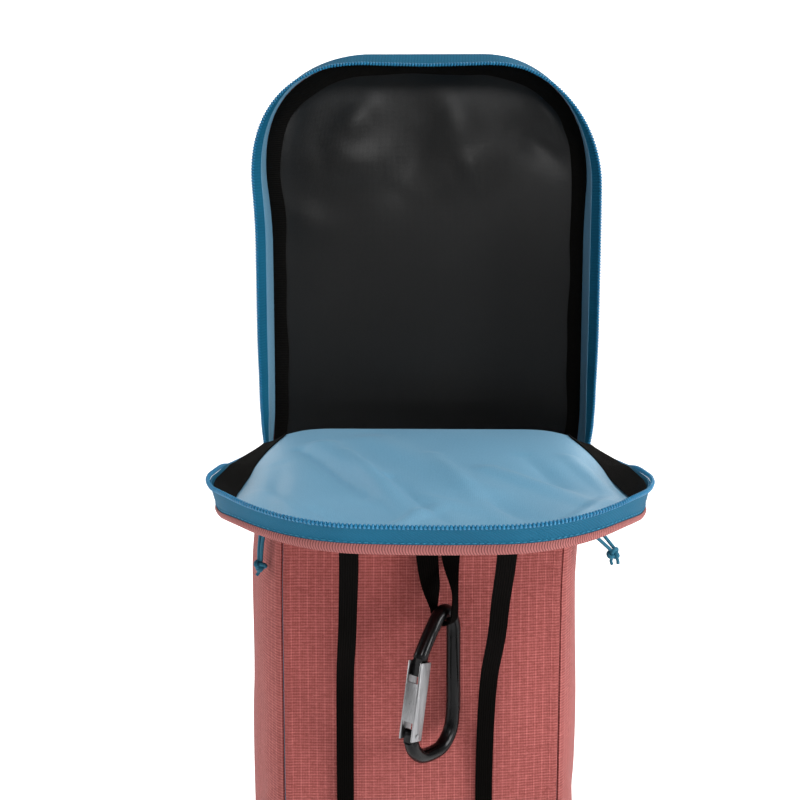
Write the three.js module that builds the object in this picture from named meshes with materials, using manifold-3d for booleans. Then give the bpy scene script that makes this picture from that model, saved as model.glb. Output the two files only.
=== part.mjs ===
// Soft bag for hockey sticks, standing upright with its top unzipped and the front flap folded forward.
// Millimetres. +X is the bag's left-to-right as seen from the front, -Y is the front, +Z is up.
// The origin is the centre of the base's underside.
import * as THREE from "three";
import { mergeVertices } from "three/addons/utils/BufferGeometryUtils.js";
import Module from "manifold-3d";

const wasm = await Module();
wasm.setup();

// Cloth layers and the gap that neighbouring pieces keep
const CLOTH = 1.6;
const LINING = 1.2;
const CLEAR = 0.3;
const BASE_THICK = 4;

// Body below the fold
const HINGE = 750; // height of the fold's crest
const DEPTH = 100; // front seam to back seam
const FRONT_HALF = 88; // half-width between the front seams
const BACK_HALF = 107.5; // half-width between the back seams
const FRONT_BOW = 5;
const BACK_BOW = 4;
const SIDE_BOW = 11;
const FOLD_RADIUS = 4; // inside the fold, on the pink side

// The lower body stands a little turned and shifted against the open top
const TURN = THREE.MathUtils.degToRad(4.5);
const SHIFT = 6.5;

// Zip line: straight sides, a quarter ellipse at each corner and a flat end
const TOP_RISE = 229; // teeth at the top of the back half, above the crest
const FLAP_LENGTH = 229; // crest to the teeth at the flap's end
const FLAP_OVER = 1; // the flap's teeth stand this far outside the back seam
const FLAP_HALF = BACK_HALF + FLAP_OVER;
const CORNER_ACROSS = 72;
const CORNER_ALONG = 84;
const FLAP_NECK = 15; // how much narrower each side of the flap is at the fold
const NECK_REACH = 126;
const ZIP_DROP = 45; // the open zip ends this far below the crest
const ZIP_SET = 12; // the slider sits this far behind the front seam
const TEETH_FLARE = 4; // teeth stand this far outside the gusset at the sides
const TOP_SAG = 3; // and this far below it at the top

// Tapes and trims
const TAPE = 14;
const TAPE_THICK = 1.2;
const COIL_RADIUS = 1.1;
const COIL_STEPS = 42;
const BINDING = 9;
const BINDING_THICK = 1.4;
const RIM = 3.6;
const BINDING_LAP = 5; // the flap's binding overlaps its floor by this much more along the sides
const BINDING_DROP = 4.2; // and ends this far below the teeth
const TRAY = 10; // the flap's floor sinks this far towards its end
const DROOP_SIDE = 11.5; // its sides hang this much lower
const DROOP_END = 3.3; // and the middle of its end this much
const TAPE_LEAN = THREE.MathUtils.degToRad(36);
const SIDE_LEAN = THREE.MathUtils.degToRad(22);

// Webbing
const STRAP_WIDTH = 10.8;
const STRAP_THICK = 1.6;
const STRAP_SPACING = 89;
const STRAP_SIDE = -5; // the pair sits this far to one side of the middle
const LOOP_WIDTH = 14;
const LOOP_NARROW = 6; // the webbing bunches up where it passes through the hook
const LOOP_THICK = 1.3;
const LOOP_SPACING = 14.7;
const LOOP_SIDE = 9; // middle of the loop's two ends
const LOOP_DROP = 15; // the loop is sewn this far below the crest

// Snap hook
const HOOK_HEIGHT = 98;
const HOOK_WIDTH = 50;
const HOOK_ROD = 9;
const HOOK_YAW = THREE.MathUtils.degToRad(50);
const HOOK_SPINE_X = 17;
const HOOK_TOP_DROP = 107.5; // crest to the top of the hook
const HOOK_OFF = 5; // rod to the front seam plane
const GATE_WIDTH = 10.4;
const GATE_DEPTH = 9;
const GATE_WALL = 1.2;
const PIN_RADIUS = 1.5;
const TONGUE_GAP = 0.5;
const FORK_TOP = 13; // the gate's outer face stops this far below its top
const FORK_FOOT = 8; // and starts this far above the pin
const GATE_SWING = THREE.MathUtils.degToRad(28);

// Sliders and pulls
const SLIDER = { width: 8, length: 14, plate: 2.6, room: 3, arch: 1.4 };
const SLIDER_OFF = 0.7; // its plate clears the gusset and the end of the tapes
const CORD_DIAMETER = 2.3;
const KNOT_RADIUS = 4.4;

const PINK = { color: 0xb05c5c, roughness: 0.9, metalness: 0 };
const SKY = { color: 0x64a0c8, roughness: 0.7, metalness: 0 };
const ZIP_BLUE = { color: 0x1e7da5, roughness: 0.6, metalness: 0 };
const BLACK_LINING = { color: 0x1c1c1c, roughness: 0.6, metalness: 0 };
const WEBBING = { color: 0x0c0c0c, roughness: 0.85, metalness: 0 };
const BLACK_METAL = { color: 0x101010, roughness: 0.25, metalness: 0.9 };
const SILVER = { color: 0xc8c8cc, roughness: 0.3, metalness: 1 };

const bag = new THREE.Group();
const UP = new THREE.Vector3(0, 0, 1);
const point = (x, y, z) => new THREE.Vector3(x, y, z);
const mix = THREE.MathUtils.lerp;
const smooth = (t) => THREE.MathUtils.smoothstep(t, 0, 1);
const steps = (count) => Array.from({ length: count + 1 }, (_, i) => i / count);

function add(name, geometry, look) {
  const mesh = new THREE.Mesh(geometry, new THREE.MeshStandardMaterial(look));
  mesh.name = name;
  bag.add(mesh);
  return mesh;
}

// Turns and shifts the body between the base and the fold, nothing at either end
function settle(p) {
  const share = p.z / HINGE;
  const amount = smooth(share / 0.6) * smooth((1 - share) / 0.15);
  const q = p.clone().applyAxisAngle(UP, TURN * amount);
  q.x -= SHIFT * amount;
  return q;
}

// A closed solid between two grids of points of the same size
function between(top, bottom) {
  const rows = top.length;
  const cols = top[0].length;
  const corners = [...top.flat(), ...bottom.flat()];
  const at = (layer, i, j) => (layer * rows + i) * cols + j;
  const index = [];
  const quad = (a, b, c, d) => index.push(a, b, c, a, c, d);
  for (let i = 0; i < rows - 1; i++) {
    for (let j = 0; j < cols - 1; j++) {
      quad(at(0, i, j), at(0, i, j + 1), at(0, i + 1, j + 1), at(0, i + 1, j));
      quad(at(1, i, j), at(1, i + 1, j), at(1, i + 1, j + 1), at(1, i, j + 1));
    }
  }
  for (let j = 0; j < cols - 1; j++) {
    quad(at(0, 0, j + 1), at(0, 0, j), at(1, 0, j), at(1, 0, j + 1));
    quad(at(0, rows - 1, j), at(0, rows - 1, j + 1), at(1, rows - 1, j + 1), at(1, rows - 1, j));
  }
  for (let i = 0; i < rows - 1; i++) {
    quad(at(0, i, 0), at(0, i + 1, 0), at(1, i + 1, 0), at(1, i, 0));
    quad(at(0, i + 1, cols - 1), at(0, i, cols - 1), at(1, i, cols - 1), at(1, i + 1, cols - 1));
  }
  return outward(corners, index);
}

function outward(corners, index) {
  let volume = 0;
  for (let i = 0; i < index.length; i += 3) {
    const [a, b, c] = [0, 1, 2].map((k) => corners[index[i + k]]);
    volume += a.dot(b.clone().cross(c));
  }
  if (volume < 0) index.reverse();
  const geometry = new THREE.BufferGeometry();
  const numbers = corners.flatMap((p) => p.toArray());
  geometry.setAttribute("position", new THREE.Float32BufferAttribute(numbers, 3));
  geometry.setIndex(index);
  return geometry;
}

// The grid moved along its own normals, rows crossed with columns
function offset(grid, distance) {
  return grid.map((row, i) =>
    row.map((p, j) => {
      const along = grid[Math.min(i + 1, grid.length - 1)][j].clone().sub(grid[Math.max(i - 1, 0)][j]);
      const across = row[Math.min(j + 1, row.length - 1)].clone().sub(row[Math.max(j - 1, 0)]);
      return p.clone().addScaledVector(along.cross(across).normalize(), distance);
    }),
  );
}

const settled = (grid) => grid.map((row) => row.map(settle));
const layer = (grid, from, thick) =>
  between(settled(offset(grid, from)), settled(offset(grid, from + thick)));

// A round bar along a smooth path
function tube(path, radius, sides, count) {
  const ring = new THREE.Shape();
  ring.absarc(0, 0, radius, 0, Math.PI * 2, false);
  const curve = new THREE.CatmullRomCurve3(path);
  const bar = new THREE.ExtrudeGeometry(ring, { steps: count, extrudePath: curve, curveSegments: sides / 2 });
  return bare(bar);
}

function bare(geometry) {
  const copy = geometry.clone();
  copy.deleteAttribute("normal");
  copy.deleteAttribute("uv");
  return mergeVertices(copy, 1e-4);
}

function solid(geometry) {
  const merged = bare(geometry);
  const vertProperties = new Float32Array(merged.attributes.position.array);
  const triVerts = new Uint32Array(merged.index.array);
  return new wasm.Manifold(new wasm.Mesh({ numProp: 3, vertProperties, triVerts }));
}

function geometryOf(manifold) {
  const mesh = manifold.getMesh();
  const geometry = new THREE.BufferGeometry();
  geometry.setAttribute("position", new THREE.BufferAttribute(mesh.vertProperties, 3));
  geometry.setIndex(new THREE.BufferAttribute(mesh.triVerts, 1));
  return geometry;
}

// Body walls
const FRONT_Y = -DEPTH / 2;
const BACK_Y = DEPTH / 2;
const FOOT = BASE_THICK + CLEAR;
const ZIP_FOOT = HINGE - ZIP_DROP;
const WALLS = CLOTH + CLEAR + LINING;
const swell = (z) => Math.sqrt(Math.max(Math.sin((Math.PI * z) / HINGE), 0));
const bowed = (share) => 1 - Math.abs(share) ** 2.2;
const frontY = (share, z) => FRONT_Y - FRONT_BOW * bowed(share) * swell(z);

function sideX(y, z) {
  const share = (y - FRONT_Y) / DEPTH;
  return mix(FRONT_HALF, BACK_HALF, share) + SIDE_BOW * (1 - (2 * share - 1) ** 4) * (0.6 + 0.4 * swell(z));
}

// The base follows the walls' outline at the floor
const edge = steps(8).map((t) => t * 2 - 1);
const outline = [
  ...edge.map((u) => [u * FRONT_HALF, frontY(u, 0)]),
  ...steps(8).slice(1).map((t) => [sideX(mix(FRONT_Y, BACK_Y, t), 0), mix(FRONT_Y, BACK_Y, t)]),
  ...edge.slice(1).map((u) => [-u * BACK_HALF, BACK_Y]),
  ...steps(8).slice(1, -1).map((t) => [-sideX(mix(BACK_Y, FRONT_Y, t), 0), mix(BACK_Y, FRONT_Y, t)]),
];
const floorPlan = new THREE.Shape(outline.map(([x, y]) => new THREE.Vector2(x, y)));
const board = new THREE.ExtrudeGeometry(floorPlan, { depth: BASE_THICK, bevelEnabled: false });
add("base_panel", bare(board), PINK);

// Heights of the walls' rows, as shares of the fold's height, closer where the body turns
const WALL_ROWS = [0, 0.16, 0.32, 0.48, 0.62, 0.74, 0.83, 0.88, 0.92, 0.96];
const FOLD_OUT = FOLD_RADIUS + WALLS; // bend's centre to the crest
const FOLD_Z = HINGE - FOLD_OUT;
const wallHeights = (from, to) => WALL_ROWS.map((share) => mix(from, to, share)).concat(to);
const across = steps(8).map((t) => t * 2 - 1);

const frontGrid = (from, to, inset) =>
  wallHeights(from, to).map((z) => across.map((u) => point(u * (FRONT_HALF - inset), frontY(u, z), z)));
const FRONT_TOP = FOLD_Z - CLEAR;
add("front_panel", layer(frontGrid(FOOT, FRONT_TOP, 0), 0, CLOTH), PINK);
add("front_lining", layer(frontGrid(FOOT, FRONT_TOP, WALLS + CLEAR + 1), CLOTH + CLEAR, LINING), SKY);

const GUSSET_TOP = ZIP_FOOT - 5;
function gussetGrid(side) {
  const near = FRONT_Y + CLOTH + CLEAR;
  const far = BACK_Y - CLOTH - CLEAR;
  const columns = side > 0 ? steps(6) : steps(6).reverse();
  return wallHeights(FOOT, GUSSET_TOP).map((z) =>
    columns.map((t) => point(side * sideX(mix(near, far, t), z), mix(near, far, t), z)),
  );
}
for (const [name, side] of [["left", -1], ["right", 1]]) {
  add(`gusset_${name}`, layer(gussetGrid(side), 0, CLOTH), PINK);
  add(`gusset_lining_${name}`, layer(gussetGrid(side), CLOTH + CLEAR, LINING), SKY);
}

// Half of the zip seen flat, from the left foot over the end to the right foot
function zipLine(half, length, shares, corner, flat) {
  const line = [];
  const rise = length - CORNER_ALONG;
  const middle = half - CORNER_ACROSS;
  for (const t of shares.slice(0, -1)) line.push({ x: -half, along: t * rise, nx: -1, na: 0 });
  for (const t of steps(corner)) {
    const angle = (1 - t / 2) * Math.PI;
    const normal = new THREE.Vector2(Math.cos(angle) / CORNER_ACROSS, Math.sin(angle) / CORNER_ALONG);
    normal.normalize();
    line.push({
      x: -middle + CORNER_ACROSS * Math.cos(angle),
      along: rise + CORNER_ALONG * Math.sin(angle),
      nx: normal.x,
      na: normal.y,
    });
  }
  for (const t of steps(flat).slice(1, flat / 2 + 1)) {
    line.push({ x: mix(-middle, middle, t), along: length, nx: 0, na: 1 });
  }
  const mirrored = line.slice(0, -1).reverse().map((s) => ({ ...s, x: -s.x, nx: -s.nx }));
  return line.concat(mirrored);
}

// Back panel and its lining: rows up the wall, then round the top
const BACK_LENGTH = HINGE + TOP_RISE + TOP_SAG;
const backOutline = zipLine(BACK_HALF, BACK_LENGTH - HINGE, steps(3), 8, 4);
const backProfile = backOutline.filter((s) => s.x >= BACK_HALF - CORNER_ACROSS);
const backRows = [...wallHeights(FOOT, HINGE).map((z) => ({ z, half: BACK_HALF }))];
for (const s of backProfile.reverse().slice(1)) backRows.push({ z: HINGE + s.along, half: s.x });
const headRoom = (z) => mix(1, 0, smooth((z - HINGE) / TOP_RISE));
function backGrid(inset) {
  const top = BACK_LENGTH - inset;
  return backRows
    .filter((row) => row.z <= BACK_LENGTH)
    .map(({ z, half }) => {
      const height = z > HINGE ? mix(HINGE, top, (z - HINGE) / (BACK_LENGTH - HINGE)) : z;
      const bulge = BACK_BOW * (z > HINGE ? 0.4 * headRoom(z) : 0.4 + 0.6 * swell(z));
      const out = z > FOOT ? bulge : 0;
      return across.map((u) => point(-u * (half - inset), BACK_Y + out * bowed(u), height));
    });
}
add("back_panel", layer(backGrid(0), 0, CLOTH), PINK);
add("back_lining", layer(backGrid(WALLS + CLEAR + 1), CLOTH + CLEAR, LINING), BLACK_LINING);

// Upper gusset: the strip from the back seam forward to the open zip, over the top
const SLIDER_Y = FRONT_Y + ZIP_SET;
const crowded = steps(9).map((t) => t ** 1.4);
const upper = zipLine(BACK_HALF, BACK_LENGTH - GUSSET_TOP - CLEAR, crowded, 8, 4);
const zipY = (along) => mix(SLIDER_Y, 0, smooth(along / 75));
const gussetEdgeY = (along) => zipY(along) + TAPE - 2;
function onUpper(s, y, out) {
  const z = GUSSET_TOP + CLEAR + s.along;
  const low = (sideX(y, Math.min(z, HINGE)) - BACK_HALF) * (1 - smooth(s.along / 110)) * Math.abs(s.nx);
  return point(s.x + s.nx * (out + low), y, z + s.na * out);
}
const upperGrid = upper.map((s) =>
  steps(3).reverse().map((t) => onUpper(s, mix(gussetEdgeY(s.along), BACK_Y - CLOTH - CLEAR, t), 0)),
);
add("gusset_upper", layer(upperGrid, 0, CLOTH), PINK);
add("gusset_lining_upper", layer(upperGrid, CLOTH + CLEAR, LINING), SKY);

// Zip tape and coil on the back half, flared outward at the sides and sagging at the top
const teethOut = (s) => (TEETH_FLARE * s.nx ** 2 - TOP_SAG * s.na ** 2) * smooth(s.along / 60);
const backTapeGrid = upper.map((s) => {
  const seam = gussetEdgeY(s.along) - CLEAR * 2;
  const teeth = zipY(s.along) + COIL_RADIUS * 2 + CLEAR * 2;
  return steps(2).reverse().map((t) => onUpper(s, mix(teeth, seam, t), mix(teethOut(s), 0, t)));
});
add("back_zip_tape", layer(backTapeGrid, 0, TAPE_THICK), ZIP_BLUE);
const backTeeth = upper
  .map((s) => ({ ...s, along: Math.max(s.along, 2) }))
  .map((s) => settle(onUpper(s, zipY(s.along) + COIL_RADIUS - CLEAR * 3, teethOut(s) - TAPE_THICK / 2)));
add("back_zip_coil", tube(backTeeth, COIL_RADIUS, 6, COIL_STEPS), ZIP_BLUE);

// Black binding over the back seam, flat against the lining
const BINDING_Y = BACK_Y - WALLS - CLEAR * 3;
const bindingRise = BACK_LENGTH - WALLS - CLEAR * 2 - FOOT;
const bindingShares = backRows
  .map((row) => (row.z - FOOT) / (bindingRise - CORNER_ALONG))
  .filter((share) => share < 0.99)
  .concat(1);
const bindingLine = zipLine(BACK_HALF - WALLS - CLEAR * 2, bindingRise, bindingShares, 8, 4);
const bindingGrid = bindingLine.map((s) =>
  steps(1).map((t) => point(s.x - s.nx * BINDING * t, BINDING_Y, FOOT + s.along - s.na * BINDING * t)),
);
add("back_binding", layer(bindingGrid, 0, -BINDING_THICK), WEBBING);

// Flap: the fold, then the floor of a shallow tray
const SEAM_IN = TAPE * Math.sin(TAPE_LEAN); // teeth to seam at the flap's end
const neck = (q) => FLAP_NECK * Math.max(1 - q / NECK_REACH, 0) ** 1.15;
// Folds pressed into the flap: ends as shares of its half-width and length, height and width in mm
const FLAP_FOLDS = [
  { fromX: -0.55, fromQ: 0.22, toX: 0.1, toQ: 0.86, height: 3.2, width: 9 },
  { fromX: -0.3, fromQ: 0.14, toX: 0.28, toQ: 0.6, height: 1.6, width: 11 },
  { fromX: 0.6, fromQ: 0.5, toX: 0.86, toQ: 0.8, height: -2.6, width: 20 },
];
function foldHeight(x, q) {
  let height = 0;
  for (const fold of FLAP_FOLDS) {
    const start = new THREE.Vector2(fold.fromX * FLAP_HALF, fold.fromQ * FLAP_LENGTH);
    const run = new THREE.Vector2(fold.toX * FLAP_HALF, fold.toQ * FLAP_LENGTH).sub(start);
    const rel = new THREE.Vector2(x, q).sub(start);
    const t = THREE.MathUtils.clamp(rel.dot(run) / run.lengthSq(), 0, 1);
    const distance = rel.sub(run.multiplyScalar(t)).length();
    height += fold.height * Math.exp(-((distance / fold.width) ** 2));
  }
  return height;
}
const floorZ = (q) => FOLD_Z + FOLD_RADIUS - TRAY * smooth(q / FLAP_LENGTH);
function droop(x, q) {
  const width = Math.abs(x) / FRONT_HALF;
  const side = THREE.MathUtils.clamp((width - 0.62) / 0.51, 0, 1.15);
  const end = Math.max(1 - width ** 2, 0) * smooth(q / FLAP_LENGTH);
  return DROOP_SIDE * side ** 3 * (1 - smooth((q / FLAP_LENGTH - 0.57) / 0.44)) + DROOP_END * end;
}
const FLOOR_LENGTH = FLAP_LENGTH - SEAM_IN - FOLD_OUT;
const floorLine = zipLine(FLAP_HALF - SEAM_IN * 0.75, FLOOR_LENGTH, crowded, 8, 4);
const flapHalf = (s) => Math.abs(s.x) - neck(s.along + FOLD_OUT);
const floorStart = FRONT_Y - FOLD_RADIUS;
const middleIndex = (floorLine.length - 1) / 2;
const floorHalf = floorLine.slice(0, middleIndex + 1);
const floorRows = floorHalf.filter((s, i) => i === 0 || s.along - floorHalf[i - 1].along > 0.8);

function flapGrid(inset) {
  const bend = steps(4).map((t) => {
    const angle = (t * Math.PI) / 2;
    const y = FRONT_Y - FOLD_RADIUS + FOLD_RADIUS * Math.cos(angle);
    return across.map((u) => {
      const x = u * (mix(FRONT_HALF, flapHalf(floorRows[0]), t) - inset);
      return point(x, y, FOLD_Z + (FOLD_RADIUS - droop(x, 0)) * Math.sin(angle));
    });
  });
  const floor = floorRows.slice(1).map((s) => {
    const q = Math.min(s.along, FLOOR_LENGTH - inset);
    return across.map((u) => {
      const x = u * (flapHalf(s) - inset);
      const calm = Math.min(bowed(u) * 3, 1) * Math.min((FLOOR_LENGTH - q) / 20, 1);
      return point(x, floorStart - q, floorZ(q) - droop(x, q) + foldHeight(x, q) * calm);
    });
  });
  return bend.concat(floor);
}
add("flap_panel", layer(flapGrid(0), 0, CLOTH), PINK);
add("flap_lining", layer(flapGrid(1), CLOTH + CLEAR, LINING), SKY);

// The flap's edge as stations: up the front seam, round the fold, along the floor's edge and back
const seamSteps = steps(3).slice(0, -1);
function flapEdge() {
  const rise = seamSteps.map((t) => ({
    p: point(-FRONT_HALF, FRONT_Y, mix(ZIP_FOOT, FOLD_Z - 4, t)),
    out: point(-0.62, 0.78, 0).lerp(point(-0.95, 0.1, 0.3), t * t).normalize(),
    side: point(-1, 0, 0),
    lift: point(0, -0.3, 0.2 * t),
  }));
  const floor = floorHalf.slice(1).map((s) => {
    const q = s.along;
    const lean = mix(SIDE_LEAN, TAPE_LEAN, s.na ** 2);
    const side = point(s.nx, -s.na, 0);
    const start = point(-0.93, 0.12, 0.14).normalize();
    const rising = side.clone().multiplyScalar(Math.sin(lean)).addScaledVector(UP, Math.cos(lean));
    return {
      p: point(-flapHalf(s), floorStart - q, floorZ(q) - droop(flapHalf(s), q)),
      out: start.lerp(rising, smooth(q / 70)).normalize(),
      side,
      lift: point(0, 0, 0),
    };
  });
  const half = rise.concat(floor);
  const flip = (w) => point(-w.x, w.y, w.z);
  const other = half.slice(0, -1).reverse().map((s) => ({
    p: flip(s.p),
    out: flip(s.out),
    side: flip(s.side),
    lift: flip(s.lift),
  }));
  return half.concat(other);
}
const flapStations = flapEdge();
const edgeGap = CLEAR * 2;
const tapeRoot = (s) => s.p.clone().addScaledVector(s.side, edgeGap + 0.4).addScaledVector(s.out, 1.6);
const flapTapeGrid = flapStations.map((s) =>
  steps(2).map((t) => tapeRoot(s).addScaledVector(s.out, t * (TAPE - COIL_RADIUS * 2))),
);
add("flap_zip_tape", layer(flapTapeGrid, 0, -TAPE_THICK), ZIP_BLUE);
const coilPath = flapStations.map((s) => {
  const onTape = tapeRoot(s).addScaledVector(s.out, TAPE - COIL_RADIUS + CLEAR);
  return settle(onTape.addScaledVector(s.side, TAPE_THICK / 2));
});
add("flap_zip_coil", tube(coilPath, COIL_RADIUS, 6, COIL_STEPS), ZIP_BLUE);

// Narrow pink strip under the tape, round the floor's edge
const rimStations = flapStations.slice(seamSteps.length, flapStations.length - seamSteps.length);
const rimTop = (s) => tapeRoot(s).addScaledVector(s.side, CLEAR * 2).addScaledVector(UP, -CLEAR * 2);
const rimGrid = rimStations.map((s) => steps(1).map((t) => rimTop(s).addScaledVector(UP, -RIM * (1 - t))));
add("flap_rim", layer(rimGrid, 0, -CLOTH), PINK);

// Black binding: a sloping band from the floor's lining up the inside of the tape
const bindingFoot = WALLS + CLEAR * 4;
const bindingInset = TAPE_THICK + CLEAR * 3;
const flapBindingGrid = rimStations.map((s) => {
  const q = floorStart - s.p.y;
  const along = smooth(q / (NECK_REACH * 0.7)) * (1 - smooth((q - NECK_REACH) / (CORNER_ALONG / 2)));
  const lap = BINDING_LAP * along;
  const low = s.p.clone().addScaledVector(s.side, -lap - bindingInset);
  low.z = floorZ(q) - droop(low.x, q) + bindingFoot;
  const high = tapeRoot(s).addScaledVector(s.out, TAPE - BINDING_DROP);
  high.addScaledVector(s.side, -bindingInset * s.out.dot(UP));
  high.addScaledVector(UP, bindingInset * s.out.dot(s.side));
  return steps(1).map((t) => low.clone().lerp(high, t));
});
add("flap_binding", layer(flapBindingGrid, 0, -BINDING_THICK), WEBBING);

// Two webbing straps: down from the flap's underside, then flat on the front panel to the base
// height is a share of the fold's height, out a share of the flap's length
const STRAP_ROUTE = [
  { height: 0.985, out: 0.55 },
  { height: 0.969, out: 0.52 },
  { height: 0.925, out: 0.4 },
  { height: 0.883, out: 0.285 },
  { height: 0.845, out: 0.215 },
  { height: 0.796, out: 0.09 },
  { height: 0.755, out: 0.035 },
  { height: 0.716, out: 0.008 },
  { height: 0.677, out: 0 },
  { height: 0.5, out: 0 },
  { height: 0.34, out: 0 },
  { height: 0.18, out: 0 },
  { height: 0.06, out: 0 },
];
const onFront = (x, z, gap) => point(x, frontY(x / FRONT_HALF, z) - gap, z);
function strapGrid(x) {
  const sides = [-STRAP_WIDTH / 2, STRAP_WIDTH / 2];
  const rows = STRAP_ROUTE.map(({ height, out }) =>
    sides.map((w) => onFront(x + w, height * HINGE, CLEAR + out * FLAP_LENGTH)),
  );
  rows.push(sides.map((w) => onFront(x + w, FOOT, CLEAR)));
  return rows.reverse();
}
for (const [name, side] of [["left", -1], ["right", 1]]) {
  add(`strap_${name}`, layer(strapGrid(STRAP_SIDE + (side * STRAP_SPACING) / 2), 0, -STRAP_THICK), WEBBING);
}

// Snap hook in its own plane: across is a share of the hook's width from the spine, up a share of its height
const HOOK_ACROSS = HOOK_WIDTH - HOOK_ROD;
const HOOK_UP = HOOK_HEIGHT - HOOK_ROD;
const HOOK_LINE = [
  { across: 0.8, up: 0.72 },
  { across: 0.7, up: 0.79 },
  { across: 0.52, up: 0.9 },
  { across: 0.37, up: 0.975 },
  { across: 0.23, up: 1 },
  { across: 0.09, up: 0.965 },
  { across: 0.01, up: 0.88 },
  { across: 0, up: 0.78 },
  { across: 0, up: 0.55 },
  { across: 0, up: 0.25 },
  { across: 0.07, up: 0.1 },
  { across: 0.26, up: 0.015 },
  { across: 0.5, up: 0 },
  { across: 0.76, up: 0.02 },
  { across: 0.93, up: 0.09 },
  { across: 0.995, up: 0.17 },
];
const HOOK_Y = FRONT_Y - FRONT_BOW - HOOK_OFF;
const hookPlace = new THREE.Group();
hookPlace.position.set(HOOK_SPINE_X, HOOK_Y, HINGE - HOOK_TOP_DROP - HOOK_HEIGHT + HOOK_ROD / 2);
hookPlace.rotation.z = HOOK_YAW + Math.PI;
hookPlace.updateMatrixWorld();
const hookLine = HOOK_LINE.map((s) => point(s.across * HOOK_ACROSS, 0, s.up * HOOK_UP));
const nose = hookLine[0];
const pivot = point(HOOK_ACROSS, 0, 0.215 * HOOK_UP);
const gateTop = nose.clone().add(point(-0.4, 0, -1));
const gateLength = gateTop.distanceTo(pivot);

// Flat tongue in the gate's channel at the nose, and the ear that the pin goes through
const TONGUE_THICK = GATE_WIDTH - 2 * GATE_WALL - 2 * TONGUE_GAP;
const tongueWidth = GATE_DEPTH - GATE_WALL - 2 * TONGUE_GAP;
function bar(from, to, width, thick) {
  const length = from.distanceTo(to);
  const box = new THREE.BoxGeometry(width, thick, length);
  box.rotateY(Math.atan2(to.x - from.x, to.z - from.z));
  box.translate((from.x + to.x) / 2, 0, (from.z + to.z) / 2);
  return box;
}
function disc(centre, radius, thick) {
  const cylinder = new THREE.CylinderGeometry(radius, radius, thick, 16);
  cylinder.translate(centre.x, centre.y, centre.z);
  return cylinder;
}
const gateUp = gateTop.clone().sub(pivot).normalize();
const gateIn = point(-gateUp.z, 0, gateUp.x); // towards the spine
const noseEnd = gateTop.clone().addScaledVector(gateUp, -9).addScaledVector(gateIn, TONGUE_GAP);
const noseStart = gateTop.clone().addScaledVector(gateUp, 3).addScaledVector(gateIn, TONGUE_GAP);
const earStart = hookLine[hookLine.length - 1].clone().add(point(0, 0, -2));
const hookRod = tube(hookLine, HOOK_ROD / 2, 10, 32);
const earRadius = GATE_DEPTH / 2 - GATE_WALL - TONGUE_GAP;
const hookBody = solid(hookRod)
  .add(solid(bar(noseEnd, noseStart, tongueWidth - 1, TONGUE_THICK)))
  .add(solid(bar(earStart, pivot, 2 * earRadius, TONGUE_THICK)))
  .add(solid(disc(pivot, earRadius, TONGUE_THICK)));

// The gate: a channel open towards the spine and forked at both ends, with the pin through its cheeks
function channel(length) {
  const shape = new THREE.Shape();
  const w = GATE_WIDTH / 2;
  const d = GATE_DEPTH / 2;
  const path = [
    [-w, -d], [w, -d], [w, d], [w - GATE_WALL, d],
    [w - GATE_WALL, -d + GATE_WALL], [-w + GATE_WALL, -d + GATE_WALL], [-w + GATE_WALL, d], [-w, d],
  ];
  path.forEach(([x, y], i) => (i ? shape.lineTo(x, y) : shape.moveTo(x, y)));
  return new THREE.ExtrudeGeometry(shape, { depth: length, bevelEnabled: false });
}
const gateFoot = earRadius + 0.5;
const gateShape = channel(gateLength + gateFoot);
const frameOf = new THREE.Matrix4().makeBasis(point(0, 1, 0), gateIn, gateUp);
frameOf.setPosition(pivot.clone().addScaledVector(gateUp, -gateFoot));
gateShape.applyMatrix4(frameOf);
const onGate = (along) => pivot.clone().addScaledVector(gateUp, along);
const forkWidth = GATE_WIDTH - 2 * GATE_WALL;
const topFork = bar(onGate(gateLength - FORK_TOP), onGate(gateLength + 2), GATE_DEPTH + 2, forkWidth);
const footFork = bar(onGate(-gateFoot - 1), onGate(FORK_FOOT), GATE_DEPTH + 2, forkWidth);
let gate = solid(gateShape).subtract(solid(topFork)).subtract(solid(footFork));
// The rod's ends, swung back round the pin, cut the gate free of the hook over its whole swing
for (const share of steps(3)) {
  const rod = tube(hookLine, HOOK_ROD / 2 + TONGUE_GAP, 10, 32);
  rod.translate(-pivot.x, 0, -pivot.z);
  rod.rotateY(share * GATE_SWING);
  rod.translate(pivot.x, 0, pivot.z);
  gate = gate.subtract(solid(rod));
}
const pin = solid(disc(pivot, PIN_RADIUS, GATE_WIDTH + 1.2));
const pinHole = solid(disc(pivot, PIN_RADIUS + CLEAR, GATE_WIDTH + 4));
gate = gate.add(pin);
const bodyMesh = add("carabiner_body", geometryOf(hookBody.subtract(pinHole)), BLACK_METAL);
const gateMesh = add("carabiner_gate", geometryOf(gate), SILVER);
hookPlace.add(bodyMesh, gateMesh);
bag.add(hookPlace);

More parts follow.
